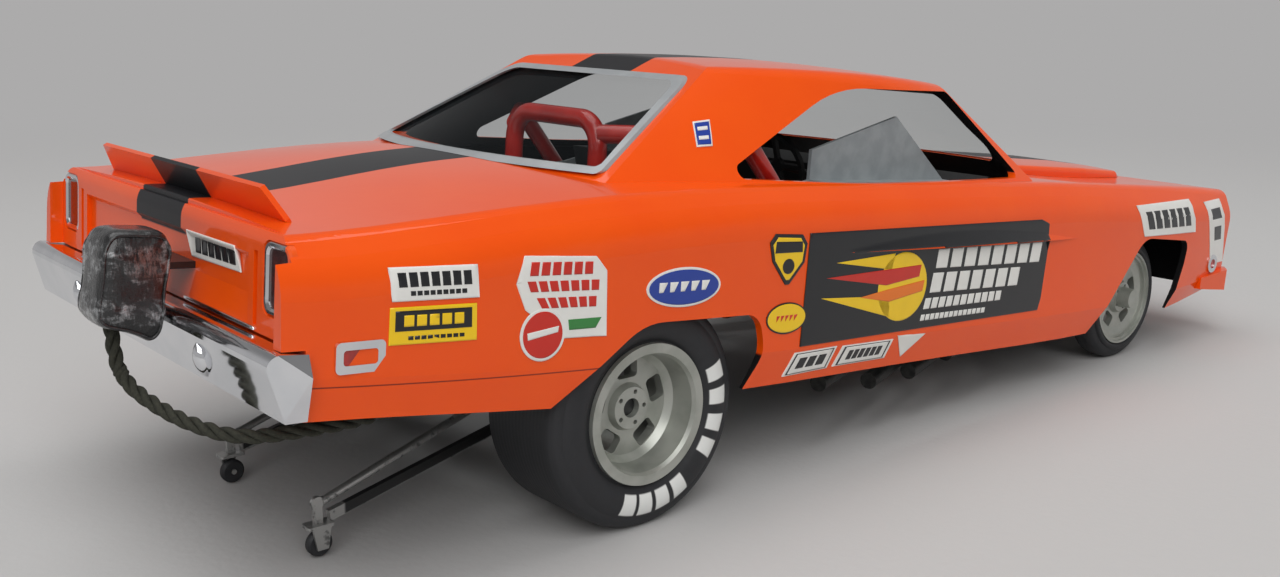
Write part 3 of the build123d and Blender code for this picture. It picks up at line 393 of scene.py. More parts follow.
rays = sky.node_tree.nodes.new("ShaderNodeLightPath").outputs
seen = sky_node("ShaderNodeMath", rays["Is Camera Ray"], rays["Is Glossy Ray"], operation="MAXIMUM")
seen = sky_node("ShaderNodeMath", seen, rays["Is Transmission Ray"], operation="MAXIMUM")
level = sky_node("ShaderNodeMapRange", seen, 0.0, 1.0, SKY_LIGHT, 1.0)
direction = sky.node_tree.nodes.new("ShaderNodeTexCoord").outputs["Generated"]
parted = sky.node_tree.nodes.new("ShaderNodeSeparateXYZ")
sky.node_tree.links.new(direction, parted.inputs[0])
ceiling = sky_node(
    "ShaderNodeMapRange",
    parted.outputs["Z"],
    CEILING_FROM,
    CEILING_TO,
    1.0,
    CEILING,
    interpolation_type="SMOOTHSTEP",
)
strength = sky_node("ShaderNodeMath", level, ceiling, operation="MULTIPLY")
sky_light = sky.node_tree.nodes["Background"]
sky_light.inputs["Color"].default_value = SKY_TONE
sky.node_tree.links.new(strength, sky_light.inputs["Strength"])
bpy.context.scene.view_settings.view_transform = "Standard"
print("floor,", len(LAMPS), "lamps and the sky are in place")

# %% [markdown]
# The tether is a twisted rope of three strands. The route is a handful of points under a NURBS
# spline, which glides inside its corners as a limp rope does. The strands can't be a plain tube,
# so the smooth line is read back from Blender and each strand winds round it: for an angle t that
# grows along the line, a strand's centre is line + h (cos t, sin t) in the plane across the line.
# Touching strands of radius s lie at h = s / sin 60 degrees, which fixes both from the diameter.

# %% Rope tether
TETHER_D = 1.7
TETHER_ROUTE = (
    (-8.4, 54.0, 29.8),
    (-8.4, 54.0, 25.6),
    (-10.4, 53.5, 22.9),
    (-15.2, 52.2, 21.3),
    (-20.0, 50.4, 20.1),
    (-25.4, 47.2, 19.2),
    (-29.9, 41.6, 20.2),
    (-31.0, 34.0, 20.4),
    (-25.5, 26.0, 20.4),
    (-16.5, 20.2, 19.6),
    (-10.5, 15.2, 19.0),
    (-10.5, 10.1, 18.85),
)
TETHER_POINTS = 400
STRANDS = 3
TWIST_PITCH = 6.2
STEEP = 0.8
GUIDE_SPAN = 30


def smooth_line(points, steps=24):
    """The points of a NURBS spline of order 3 whose control points are these."""
    curve = bpy.data.curves.new("tether_line", "CURVE")
    curve.dimensions = "3D"
    curve.resolution_u = steps
    spline = curve.splines.new("NURBS")
    spline.points.add(len(points) - 1)
    spline.points.foreach_set("co", np.column_stack([points, np.ones(len(points))]).ravel())
    spline.order_u = 3
    spline.use_endpoint_u = True
    line = bpy.data.objects.new("tether_line", curve)
    bpy.context.scene.collection.objects.link(line)
    bpy.context.view_layer.update()
    mesh = bpy.data.meshes.new_from_object(line.evaluated_get(bpy.context.evaluated_depsgraph_get()))
    places = np.zeros(len(mesh.vertices) * 3)
    mesh.vertices.foreach_get("co", places)
    bpy.data.objects.remove(line)
    bpy.data.meshes.remove(mesh)
    return places.reshape(-1, 3)


def evenly(line, count):
    """The same line with its points at equal distances: each coordinate as a function of length."""
    run = np.concatenate([[0], np.cumsum(np.linalg.norm(np.diff(line, axis=0), axis=1))])
    wanted = np.linspace(0, run[-1], count)
    return np.stack([np.interp(wanted, run, line[:, axis]) for axis in range(3)], axis=1), wanted


def across_line(line):
    """Two unit vectors across the line at each point. The first is a guide less its part along the
    line. The guide is up, or +X where the line is steep, and it is averaged over its neighbours, so
    the pair turns slowly from point to point."""
    along = np.gradient(line, axis=0)
    along /= np.linalg.norm(along, axis=1, keepdims=True)
    guides = np.where(np.abs(along[:, 2:]) > STEEP, (1.0, 0.0, 0.0), (0.0, 0.0, 1.0))
    kernel = np.hanning(2 * GUIDE_SPAN + 1)
    kernel /= kernel.sum()
    padded = np.pad(guides, ((GUIDE_SPAN, GUIDE_SPAN), (0, 0)), mode="edge")
    guides = np.stack([np.convolve(padded[:, axis], kernel, "valid") for axis in range(3)], axis=1)
    first = guides - (guides * along).sum(1, keepdims=True) * along
    first /= np.linalg.norm(first, axis=1, keepdims=True)
    return first, np.cross(along, first)


def rings_round(line, first, second, radius, sides):
    """Rings of points round a line: point = line + radius * (cos a * first + sin a * second)."""
    angle = np.linspace(0, 2 * np.pi, sides, endpoint=False)
    ring = np.cos(angle)[None, :, None] * first[:, None] + np.sin(angle)[None, :, None] * second[:, None]
    return line[:, None] + radius * ring


def strand(line, first, second, run, phase, radius, lay, sides=10):
    """A tube of that radius whose centre winds round the line at distance lay: rings of points."""
    turn = 2 * np.pi * run / (TWIST_PITCH * MM) + phase
    centre = line + lay * (np.cos(turn)[:, None] * first + np.sin(turn)[:, None] * second)
    return rings_round(centre, *across_line(centre), radius, sides)


def capped(rings):
    """Rings of points plus a centre point drawn to each end, so a tube is closed."""
    first = np.repeat(rings[:1].mean(1, keepdims=True), rings.shape[1], axis=1)
    last = np.repeat(rings[-1:].mean(1, keepdims=True), rings.shape[1], axis=1)
    return np.concatenate([first, rings, last])


def joined(surfaces, wrap_rows=False, wrap_columns=True):
    """Several grids of points as one: all their points, and all their faces renumbered."""
    points, faces, used = [], [], 0
    for surface in surfaces:
        rows, columns = surface.shape[:2]
        points.append(surface.reshape(-1, 3))
        faces.append(grid_faces(rows, columns, wrap_rows, wrap_columns) + used)
        used += rows * columns
    return np.concatenate(points), np.concatenate(faces)


def merged(piece, distance=1e-7):
    """Joins points that lie on each other, as at a pole, and turns the faces outwards."""
    mesh = bmesh.new()
    mesh.from_mesh(piece.data)
    bmesh.ops.remove_doubles(mesh, verts=mesh.verts, dist=distance)
    bmesh.ops.dissolve_degenerate(mesh, edges=mesh.edges, dist=distance)
    bmesh.ops.recalc_face_normals(mesh, faces=mesh.faces)
    mesh.to_mesh(piece.data)
    mesh.free()
    return piece


rope_finish = Finish("rope_olive", Roughness=0.9)
fibres = rope_finish.noise(0.35, 3.0)
rope_finish.set(Base_Color=rope_finish.mix(fibres, colour(20, 21, 17), colour(66, 66, 54)))
rope_finish.bump(fibres, 0.12, 0.8)

tether_line, tether_run = evenly(smooth_line(behind_axle(TETHER_ROUTE)), TETHER_POINTS)
tether_first, tether_second = across_line(tether_line)
tether_core = TETHER_D / 2 / (1 + math.sin(math.pi / STRANDS)) * MM
tether_strands = [
    capped(
        strand(
            tether_line,
            tether_first,
            tether_second,
            tether_run,
            2 * math.pi * number / STRANDS,
            tether_core * math.sin(math.pi / STRANDS),
            tether_core,
        )
    )
    for number in range(STRANDS)
]
tether = merged(new_piece("rope_tether", *joined(tether_strands), rope_finish))
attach(tether, "car")
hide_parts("tether")
print("tether:", round(tether_run[-1] / MM, 1), "mm of rope")

# %% [markdown]
# The parachute pack is a leather-covered bag on the tail, puffed up between its piped edges and drawn
# in twice across its middle by a strap. It starts as a superellipsoid, a box whose edges are rounded
# by an exponent, because that one formula gives a closed form with full sides and soft corners. The
# same small set of moves then pinches, slopes and wrinkles it, so its piping can follow along.

# %% Parachute pack
PACK_CENTRE = (-9.0, 55.05, 29.75)
PACK_HALF = (3.6, 3.75, 5.85)
PACK_LEAN = math.radians(6)
PACK_POWER = 5.5
STRAP_LINES = (0.55, -0.75)
STRAP_DEPTH, STRAP_WIDTH = 0.085, 0.24
LOBES = (3.1, -3.3)
LEAST_SWELL, LOBE_SWELL, LOBE_WIDTH = 0.97, 0.05, 1.7
SLACK_ACROSS, SLACK_DEEP = 0.018, 0.014
UNDERSIDE_SLOPE, UNDERSIDE_LIFT, TOP_SLOPE = 0.13, 0.35, 0.07
FLAP_DROP, FLAP_SPREAD = 1.5, 0.35
WELT_R = 0.2
WELT_PLACE = 0.86
WELT_PROUD = 1.012
PATCH_PLACE, PATCH_HALF = (-1.1, 2.35), (1.6, 1.5)
STITCH_MIDDLE, STITCH_OFFSET, STITCH_WIDTH = -0.1, 0.72, 0.1


def power_wave(angle, wave, exponent):
    """A sine or cosine whose size is raised to a power, with its sign kept."""
    value = wave(angle)
    return np.sign(value) * np.abs(value) ** exponent


def pack_form(across, deep, tall):
    """Moves points of the plain box form, in parts of its half sizes, to the sewn one. The sides are
    drawn in at each strap line by a bell curve, the underside rises to the rear with a flap left at its
    front right corner, and three crossing sine waves stand for the slack of the leather."""
    z = tall * PACK_HALF[2]
    waist = 1 - sum(STRAP_DEPTH * np.exp(-(((z - line) / STRAP_WIDTH) ** 2)) for line in STRAP_LINES)
    swell = LEAST_SWELL + sum(LOBE_SWELL * np.exp(-(((z - lobe) / LOBE_WIDTH) ** 2)) for lobe in LOBES)
    x, y = across * PACK_HALF[0] * waist * swell, deep * PACK_HALF[1] * waist * swell
    crossed = np.sin(1.9 * z + 0.9 * y) * np.sin(1.3 * y - 1.1 * x + 0.6)
    slack = crossed + 0.6 * np.sin(3.1 * z - 1.7 * y + x)
    x, y = x * (1 + SLACK_ACROSS * slack), y * (1 + SLACK_DEEP * slack)
    low, high = np.clip(-tall, 0, 1) ** 2, np.clip(tall, 0, 1) ** 2
    flap = FLAP_DROP * np.exp(-((deep + 1) ** 2 + (across + 1) ** 2) / FLAP_SPREAD)
    z = z + low * (UNDERSIDE_SLOPE * y + UNDERSIDE_LIFT - flap) - high * TOP_SLOPE * y
    back = y * math.cos(PACK_LEAN) - z * math.sin(PACK_LEAN)
    up = y * math.sin(PACK_LEAN) + z * math.cos(PACK_LEAN)
    return seated(np.stack([x, back, up], axis=-1) + PACK_CENTRE)


def pack_skin(rows=150, columns=96):
    """The superellipsoid: cos and sin of latitude and longitude, each to the power 2 / PACK_POWER."""
    exponent = 2 / PACK_POWER
    latitude, longitude = np.meshgrid(
        np.linspace(-np.pi / 2, np.pi / 2, rows),
        np.linspace(0, 2 * np.pi, columns, endpoint=False),
        indexing="ij",
    )
    ring = power_wave(latitude, np.cos, exponent)
    return pack_form(
        ring * power_wave(longitude, np.cos, exponent),
        ring * power_wave(longitude, np.sin, exponent),
        power_wave(latitude, np.sin, exponent),
    )


def pack_piping(side, count=160, sides=8):
    """A thin tube round one side panel: the outline of the box form at that side, a little inwards."""
    turn = np.linspace(0, 2 * np.pi, count, endpoint=False)
    exponent = 2 / PACK_POWER
    rim = WELT_PROUD * (1 - WELT_PLACE**PACK_POWER) ** (1 / PACK_POWER)
    outline = [rim * power_wave(turn, wave, exponent) for wave in (np.cos, np.sin)]
    line = pack_form(np.full(count, side * WELT_PLACE), *outline)
    along = np.roll(line, -1, axis=0) - np.roll(line, 1, axis=0)
    along /= np.linalg.norm(along, axis=1, keepdims=True)
    outward = line - line.mean(0)
    first = outward - (outward * along).sum(1, keepdims=True) * along
    first /= np.linalg.norm(first, axis=1, keepdims=True)
    return rings_round(line, first, np.cross(along, first), WELT_R * MM, sides)


leather = Finish("pack_leather", Coat_Roughness=0.12)
back, up = leather.level_place()[1:]
deep, tall = back - PACK_CENTRE[1], up - PACK_CENTRE[2]
creases = leather.noise(1.5, 5.0, 0.62, stretch=(1.0, 0.8, 1.7))
rubbing = leather.noise(4.2, 2.0)
scratches = leather.noise(0.5, 3.0, 0.7, stretch=(1.6, 1.4, 0.5))
lobes = (abs(tall - 3.0) * 0.9).below(1.9, 1.3) + (abs(tall + 2.8) * 0.9).below(1.4, 1.2) * 0.7
silver = (creases + scratches * 0.5 + rubbing * 0.7 + lobes * 0.17).above(1.4, 0.2)
patch_deep = abs(deep - PATCH_PLACE[0]).below(PATCH_HALF[0], 0.7)
patch = patch_deep * abs(tall - PATCH_PLACE[1]).below(PATCH_HALF[1], 0.7)
from_strap = abs(tall - STITCH_MIDDLE)
stitch_line = from_strap.above(STITCH_OFFSET, 0.04) * from_strap.below(STITCH_OFFSET + STITCH_WIDTH, 0.04)
dye = leather.mix(patch * scratches.above(0.5, 0.08), colour(15, 15, 17), colour(92, 58, 50))
dye = leather.mix(stitch_line, dye, colour(10, 10, 11))
leather.set(
    Base_Color=leather.mix(silver * (1 - patch * 0.7) * (1 - stitch_line), dye, colour(186, 188, 190)),
    Metallic=silver * 0.8,
    Roughness=0.32 - silver * 0.06,
    Coat_Weight=0.6,
)
leather.bump(creases * 0.6 + scratches * 0.3 + rubbing * 0.5, 0.4, 1.0)

pack = merged(new_piece("parachute_pack_leather", *joined([pack_skin()]), leather))
pipes = joined([pack_piping(side) for side in (1, -1)], wrap_rows=True)
piping = merged(new_piece("pack_piping", *pipes, leather))
for piece in (pack, piping):
    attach(piece, "car")
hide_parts("parachute_pack")
print("pack:", len(pack.data.polygons), "faces, piping:", len(piping.data.polygons))

# %% [markdown]
# The body is sprayed gloss orange with a satin black stripe down the middle, and left black inside.
# The stripe is where the distance from the centre line is small. Inside and outside of the shell are
# told apart by the surface's normal: outside it points away from the middle of the cabin, and inside
# it points towards it. The solid pieces that are sprayed with the body have no inside, so they wear
# the same paint without that mask. The clear coat does the shine, so the colour under it has little
# of its own, or the orange would turn pink with the pale room.

# %% Body paint
ORANGE = colour(245, 88, 6)
DEEP_ORANGE = colour(240, 78, 4)
STRIPE_BLACK = colour(34, 34, 37)
STRIPE_HALF = 6.9
STRIPE_FOOT = 34.2
STRIPE_BLUR = 0.12
CABIN_MIDDLE = (-52, 27)
CABIN_HALF = (38, 100, 20)
TAIL_FROM = 46.9
# Height, bend and half width of the painted shade line in the pressed crease low on the quarters, then its
# middle and reach along the body.
CREASE_SHADE_LINE, CREASE_SHADE_CURVE, CREASE_SHADE_HALF = 22.0, 0.00052, 0.07
CREASE_SHADE_MIDDLE, CREASE_SHADE_REACH = 29.0, 18.5
SHINE = 0.62


def outside_of_body(finish, across, back, up):
    """1 on the outer skin, 0 on the inner one: the normal times the place from the cabin's middle.
    Behind the tail's wall there is no inside, only recesses for the lamps and the sunk panel."""
    geometry = finish.node("ShaderNodeNewGeometry", output="Normal")
    normal = [finish.node("ShaderNodeSeparateXYZ", {}, (geometry,), axis) for axis in "XYZ"]
    place = (across, back - CABIN_MIDDLE[0], up - CABIN_MIDDLE[1])
    shares = [part * toward / half**2 for part, toward, half in zip(place, normal, CABIN_HALF)]
    outward = shares[0] + shares[1] + shares[2]
    return outward.above(0.0, 0.0008).greater(back.above(TAIL_FROM, 0.02))


def sprayed(name, hollow):
    """The orange paint with its stripe. A hollow piece is black where its skin faces inwards, and has a
    dark line of painted shade along the fine pressed crease low on its quarters, at a height that is a
    parabola of the place along it."""
    paint = Finish(name, Coat_Roughness=0.04, Specular_IOR_Level=0.12)
    across, back, up = paint.level_place()
    stripe = abs(across).below(STRIPE_HALF, STRIPE_BLUR) * up.above(STRIPE_FOOT, STRIPE_BLUR)
    orange = paint.mix(paint.noise(9.0, 3.0), ORANGE, DEEP_ORANGE)
    painted = paint.mix(stripe, orange, STRIPE_BLACK)
    # The dark line is painted shade: the shadow that falls in the fine pressed crease low on the quarters.
    line = abs(up - CREASE_SHADE_LINE - back * back * CREASE_SHADE_CURVE).below(CREASE_SHADE_HALF, 0.06)
    line = line * abs(back - CREASE_SHADE_MIDDLE).below(CREASE_SHADE_REACH, 1.0)
    painted = paint.mix(line * hollow, painted, colour(120, 30, 4))
    shine = (1 - stripe * 0.75) * SHINE
    if hollow:
        outer = outside_of_body(paint, across, back, up)
        painted = paint.mix(outer, colour(24, 24, 25), painted)
        shine = shine * outer
    paint.set(Base_Color=painted, Coat_Weight=shine, Roughness=stripe * 0.1 + 0.34)
    paint.bump(paint.noise(1.6, 2.0), 0.008)
    return paint


shell_paint = sprayed("body_paint", hollow=True)
piece_paint = sprayed("body_paint_solid", hollow=False)
wear(shell_paint, "body_shell")
wear(piece_paint, "hood_scoop", "rear_spoiler", "front_bumper")
print("body paint:", len(shell_paint.tree.nodes), "nodes")

# %% [markdown]
# The labels on the model are thin films that lie on the paint. Each is given by its outline on a flat
# sheet beside the car, in the level frame. A grid of small cells between the outline's upper and lower
# edges is then dropped onto the body with a Shrinkwrap modifier, so it follows the crease and the
# curve of the flank, and Solidify gives it the film's thickness. Rows of plain blocks make up their
# patterns. Films of one colour and one layer are a single piece.

# %% Outlines of the labels
FILM = 0.14
LAYER_STEP = 0.035
SHEET_X = -46.0


def oval(centre, half, count=40):
    """Points round an ellipse: centre + half (cos t, sin t)."""
    turn = np.linspace(0, 2 * np.pi, count, endpoint=False)
    return np.array(centre) + np.stack([np.cos(turn), np.sin(turn)], axis=1) * half


def inset(outline, share):
    """The outline drawn in towards the middle of its points by a share of the way."""
    outline = np.array(outline, float)
    middle = outline.mean(0)
    return middle + (outline - middle) * (1 - share)


def bar_in(corners, low, high, start=0.08, end=0.92):
    """A bar inside a four-cornered label: its place between the lower and upper edges and along them.
    The corners run rear top, front top, front bottom, rear bottom, and a point is their bilinear mix."""
    corners = np.array(corners, float)
    along = np.array([start, end, end, start])[:, None]
    height = np.array([high, high, low, low])[:, None]
    upper = corners[0] + (corners[1] - corners[0]) * along
    lower = corners[3] + (corners[2] - corners[3]) * along
    return lower + (upper - lower) * height


def blocks(corners, count, gap=0.24):
    """A four-cornered outline cut into that many blocks, each with a gap after it."""
    edges = np.arange(count) / count
    return [bar_in(corners, 0, 1, edge + gap / count / 2, edge + (1 - gap / 2) / count) for edge in edges]


WHITE_TAG = ((38.3, 34.8), (28.1, 34.9), (27.9, 31.4), (38.1, 31.4))
YELLOW_TAG = ((38.3, 30.8), (28.2, 30.8), (28.1, 26.8), (38.4, 26.9))
CLUB_PATCH = (
    ((23.3, 32.6), (22.2, 35.6), (12.6, 35.3), (11.0, 33.6))
    + ((10.6, 25.9), (12.4, 26.0), (17.0, 26.1), (22.0, 29.6))
)
SHIELD = (
    ((-15.5, 35.9), (-16.5, 37), (-21.6, 36.8), (-22.6, 35.6))
    + ((-22.3, 33.1), (-19.6, 30.3), (-18.9, 30.3), (-16.2, 33.4))
)
DOOR_PANEL = (
    ((-23.1, 36.9), (-78.7, 37.4), (-80.9, 36.7), (-81.3, 32.4))
    + ((-81.3, 25.8), (-80.3, 22.6), (-22.8, 21.7))
)
DOOR_ROWS = (
    # corners of a row of blocks: rear top, front top, front bottom, rear bottom; and how many blocks
    (((-51.3, 33.7), (-79.8, 33.8), (-79.4, 30.6), (-51.0, 30.9)), 8),
    (((-50.6, 30.2), (-74.2, 30.0), (-73.8, 27.1), (-50.1, 27.3)), 7),
    (((-49.5, 26.5), (-69.5, 26.5), (-69.3, 25.0), (-49.1, 24.9)), 11),
    (((-48.9, 24.1), (-65.4, 24.1), (-65.3, 23.3), (-48.7, 23.2)), 14),
)
SILL_TAGS = (
    (((-22.1, 20.9), (-30.6, 21.1), (-29.8, 17.9), (-20.8, 17.6)), 3),
    (((-31.9, 21.0), (-43.1, 21.0), (-42.5, 18.1), (-30.9, 18.0)), 6),
)
FENDER_TAG = ((-109.9, 39.0), (-132.4, 39.7), (-134.3, 33.6), (-113.2, 33.5))
NOSE_TAG = ((-138.8, 39.0), (-147.0, 39.5), (-151.1, 27.0), (-144.4, 26.7))
PILLAR_TILE = ((-12.5, 50.1), (-15.2, 50.5), (-13.9, 47.2), (-11.4, 47.0))
TAIL_TAG = ((-8.7, 34.0), (-21.5, 34.2), (-22.1, 31.3), (-9.0, 31.0))

FLANK_FILMS = [
    # (colour, layer, outline)
    ("white", 0, WHITE_TAG),
    ("yellow", 0, YELLOW_TAG),
    ("black", 1, bar_in(YELLOW_TAG, 0.36, 0.9, 0.06, 0.94)),
    ("white", 0, CLUB_PATCH),
    ("green", 1, ((16.2, 28.2), (11.5, 28.2), (11.5, 27.0), (16.0, 27.0))),
    ("white", 1, oval((19.6, 26.7), (3.0, 3.0))),
    ("red", 2, oval((19.6, 26.7), (2.65, 2.65))),
    ("white", 3, ((21.7, 27.0), (17.5, 27.6), (17.6, 26.9), (21.6, 26.2))),
    ("white", 0, oval((-1.1, 31.0), (6.0, 2.45))),
    ("blue", 1, oval((-1.1, 31.0), (5.65, 2.15))),
    ("black", 0, SHIELD),
    ("yellow", 1, inset(SHIELD, 0.16)),
    ("black", 2, ((-16.6, 36.0), (-21.6, 35.9), (-21.7, 34.5), (-16.5, 34.5))),
    ("black", 2, oval((-19.2, 32.7), (1.1, 1.0))),
    ("black", 0, oval((-19.7, 25.8), (3.8, 2.1))),
    ("yellow", 1, oval((-19.7, 25.8), (3.6, 1.9))),
    ("black", 0, DOOR_PANEL),
    ("yellow", 1, oval((-43.9, 28.6), (5.6, 5.0))),
    ("yellow", 1, ((-41.5, 33.5), (-28.8, 32.7), (-41.0, 31.2))),
    ("yellow", 1, ((-42.0, 24.2), (-26.2, 28.0), (-40.5, 27.4))),
    ("red", 2, ((-47.8, 31.6), (-27.0, 30.7), (-40.0, 29.0), (-47.5, 29.9))),
    ("orange", 2, ((-48.9, 29.3), (-40.6, 28.4), (-34.5, 27.6), (-41.0, 26.6), (-48.6, 27.7))),
    ("white", 0, ((-44.0, 21.4), (-50.6, 21.2), (-46.4, 17.9))),
    ("white", 0, FENDER_TAG),
    ("white", 0, NOSE_TAG),
    ("black", 1, bar_in(NOSE_TAG, 0.72, 0.88, 0.2, 0.8)),
    ("black", 1, bar_in(NOSE_TAG, 0.38, 0.6, 0.3, 0.75)),
    ("white", 0, PILLAR_TILE),
    ("blue", 1, inset(PILLAR_TILE, 0.14)),
    ("white", 2, bar_in(PILLAR_TILE, 0.62, 0.76, 0.2, 0.8)),
    ("white", 2, bar_in(PILLAR_TILE, 0.26, 0.4, 0.2, 0.8)),
]
TAIL_FILMS = [("white", 0, TAIL_TAG)]
for colour_name, layer, row, count in (
    ("black", 1, bar_in(WHITE_TAG, 0.42, 0.84, 0.07, 0.93), 7),
    ("black", 1, bar_in(WHITE_TAG, 0.16, 0.3, 0.2, 0.86), 9),
    ("yellow", 2, bar_in(YELLOW_TAG, 0.48, 0.78, 0.14, 0.86), 5),
    ("black", 1, bar_in(YELLOW_TAG, 0.12, 0.22, 0.2, 0.86), 9),
    ("red", 1, ((21.6, 34.9), (12.9, 34.7), (12.9, 33.3), (21.8, 33.4)), 6),
    ("red", 1, ((22.1, 32.8), (11.9, 32.6), (11.9, 31.4), (21.6, 31.6)), 7),
    ("red", 1, ((20.8, 30.9), (12.2, 30.7), (12.2, 29.5), (20.0, 29.7)), 6),
    ("white", 2, ((3.2, 31.7), (-5.4, 31.7), (-5.4, 30.5), (3.2, 30.5)), 5),
    ("red", 2, ((-17.6, 26.2), (-21.8, 26.2), (-21.8, 25.4), (-17.6, 25.4)), 5),
    ("black", 1, bar_in(FENDER_TAG, 0.22, 0.78, 0.08, 0.92), 6),
):
    FLANK_FILMS += [(colour_name, layer, block) for block in blocks(row, count)]
for row, count in DOOR_ROWS:
    FLANK_FILMS += [("white", 1, block) for block in blocks(row, count)]
for tag, count in SILL_TAGS:
    FLANK_FILMS += [("white", 0, tag), ("black", 1, inset(tag, 0.1)), ("white", 2, inset(tag, 0.17))]
    FLANK_FILMS += [("black", 3, block) for block in blocks(bar_in(tag, 0.28, 0.74, 0.16, 0.84), count)]
TAIL_FILMS += [("black", 1, block) for block in blocks(bar_in(TAIL_TAG, 0.2, 0.8, 0.08, 0.92), 6)]
print(len(FLANK_FILMS) + len(TAIL_FILMS), "outlines of films")

# %% [markdown]
# An outline becomes a grid by its two chains: from its first point to its last point along the sheet
# it has an upper edge and a lower edge, and each column of the grid runs from one to the other. The
# columns stand at even steps and at every corner as well, so the corners stay sharp.

# %% Films on the body
FILM_CELL = 0.8
FILM_ROW = 0.2
FILM_LAYERS = 4
TIE_BREAK = 1e-6
TAIL_SHEET_Y = 60.0
FILM_COLOURS = {
    "white": (236, 235, 230),
    "black": (27, 28, 31),
    "yellow": (250, 206, 22),
    "red": (206, 44, 30),
    "blue": (38, 66, 158),
    "orange": (240, 122, 28),
    "green": (58, 134, 66),
}


def between(outline):
    """A grid over an outline: columns along it, rows between its lower and upper chain, as
    point = lower + share * (upper - lower), where both are read off by linear interpolation."""
    outline = np.array(outline, float)
    count = len(outline)
    first, last = int(np.argmin(outline[:, 0])), int(np.argmax(outline[:, 0]))
    chains = [
        outline[np.arange(first, first + (last - first) % count + 1) % count],
        outline[np.arange(last, last + (first - last) % count + 1) % count][::-1],
    ]
    low, high = outline[first, 0], outline[last, 0]
    steps = np.linspace(low, high, max(2, int(np.ceil((high - low) / FILM_CELL)) + 1))
    columns = np.unique(np.round(np.concatenate([steps, outline[:, 0]]), 4))
    edges = [
        np.interp(columns, chain[:, 0] + np.arange(len(chain)) * TIE_BREAK, chain[:, 1]) for chain in chains
    ]
    lower, upper = np.minimum(*edges), np.maximum(*edges)
    share = np.linspace(0, 1, max(2, int(np.ceil((upper - lower).max() / FILM_ROW)) + 1))
    heights = lower + share[:, None] * (upper - lower)
    return np.broadcast_to(columns, heights.shape), heights


def on_flank(outline):
    """The grid on an upright sheet beside the right flank, facing away from the car."""
    back, up = between(outline)
    return seated(np.stack([np.full(back.shape, SHEET_X), back, up], axis=-1))


def on_tail(outline):
    """The grid on an upright sheet behind the tail, facing rearwards."""
    across, up = between(outline)
    return seated(np.stack([across, np.full(up.shape, TAIL_SHEET_Y), up], axis=-1))


def film_piece(name, surfaces, finish, axis, forwards, layer):
    """Grids dropped along one axis onto the body shell, with a film's thickness, baked into a mesh."""
    piece = new_piece(name, *joined(surfaces, wrap_columns=False), finish)
    drop = piece.modifiers.new("drop", "SHRINKWRAP")
    drop.target = nodes["body_shell"]
    drop.wrap_method = "PROJECT"
    drop.wrap_mode = "ABOVE_SURFACE"
    setattr(drop, f"use_project_{axis}", True)
    drop.use_positive_direction, drop.use_negative_direction = forwards, not forwards
    drop.offset = (FILM + LAYER_STEP * layer) * MM
    film = piece.modifiers.new("film", "SOLIDIFY")
    film.thickness = FILM * MM
    film.offset = -1
    bpy.context.view_layer.update()
    baked = bpy.data.meshes.new_from_object(piece.evaluated_get(bpy.context.evaluated_depsgraph_get()))
    piece.modifiers.clear()
    piece.data = baked
    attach(piece, "car")
    return piece


DROPS = (
    # outlines, the axis they drop along, whether towards its plus side, and where their sheet stands
    (FLANK_FILMS, "x", True, on_flank),
    (TAIL_FILMS, "y", False, on_tail),
)
films = 0
for colour_name, tone in FILM_COLOURS.items():
    print_finish = Finish(
        f"film_{colour_name}", Coat_Weight=0.6, Coat_Roughness=0.08, Specular_IOR_Level=0.2
    )
    grain = print_finish.noise(2.2, 3.0)
    print_finish.set(
        Base_Color=print_finish.mix(grain * 0.5, colour(*tone), colour(*[part * 0.9 for part in tone])),
        Roughness=0.34 + grain * 0.1,
    )
    print_finish.bump(print_finish.noise(0.5), 0.004)
    for layer in range(FILM_LAYERS):
        for table, axis, forwards, place in DROPS:
            surfaces = [place(outline) for *kind, outline in table if kind == [colour_name, layer]]
            if surfaces:
                piece_name = f"film_{place.__name__}_{colour_name}_{layer}"
                film_piece(piece_name, surfaces, print_finish, axis, forwards, layer)
                films += 1
print(films, "pieces of film on the paint")

# %% [markdown]
# The other solids get their finishes from a short table: colours, how metallic, how rough, and a
# fine grain for the bump. A rubbed or cast surface shows two tones that change from place to place.

# %% Finishes of the other solids
PLAIN_FINISHES = {
    # name: (first colour, second colour, grain mm, metallic, roughness, coat, bump mm)
    "grey_trim": ((180, 184, 186), (170, 174, 177), 6.0, 0.35, 0.36, 0.3, 0.01),
    "bright_plate": ((232, 233, 236), (222, 224, 228), 5.0, 1.0, 0.07, 0.0, 0.006),
    "red_lens": ((78, 9, 7), (52, 6, 6), 1.5, 0.0, 0.18, 1.0, 0.03),
    "amber_lens": ((190, 24, 10), (150, 16, 8), 1.5, 0.0, 0.2, 1.0, 0.02),
    "lamp_glass": ((205, 208, 210), (180, 184, 188), 1.0, 0.6, 0.2, 1.0, 0.03),
    "dark_grille": ((34, 34, 36), (24, 24, 25), 1.0, 0.0, 0.45, 0.0, 0.01),
    "cast_silver": ((176, 178, 171), (158, 161, 153), 4.0, 0.55, 0.36, 0.15, 0.015),
    "frame_paint": ((30, 31, 32), (22, 22, 23), 1.5, 0.0, 0.4, 0.2, 0.012),
    "cage_paint": ((196, 36, 24), (176, 28, 20), 3.0, 0.0, 0.3, 0.6, 0.012),
    "tin_grey": ((168, 174, 176), (154, 160, 163), 3.0, 0.15, 0.45, 0.0, 0.01),
    "pipe_grey": ((60, 60, 58), (38, 38, 38), 1.2, 0.5, 0.5, 0.0, 0.02),
    "engine_orange": ((206, 84, 28), (176, 66, 22), 2.5, 0.0, 0.35, 0.4, 0.02),
    "seat_black": ((30, 30, 31), (20, 20, 20), 1.0, 0.0, 0.6, 0.0, 0.03),
}
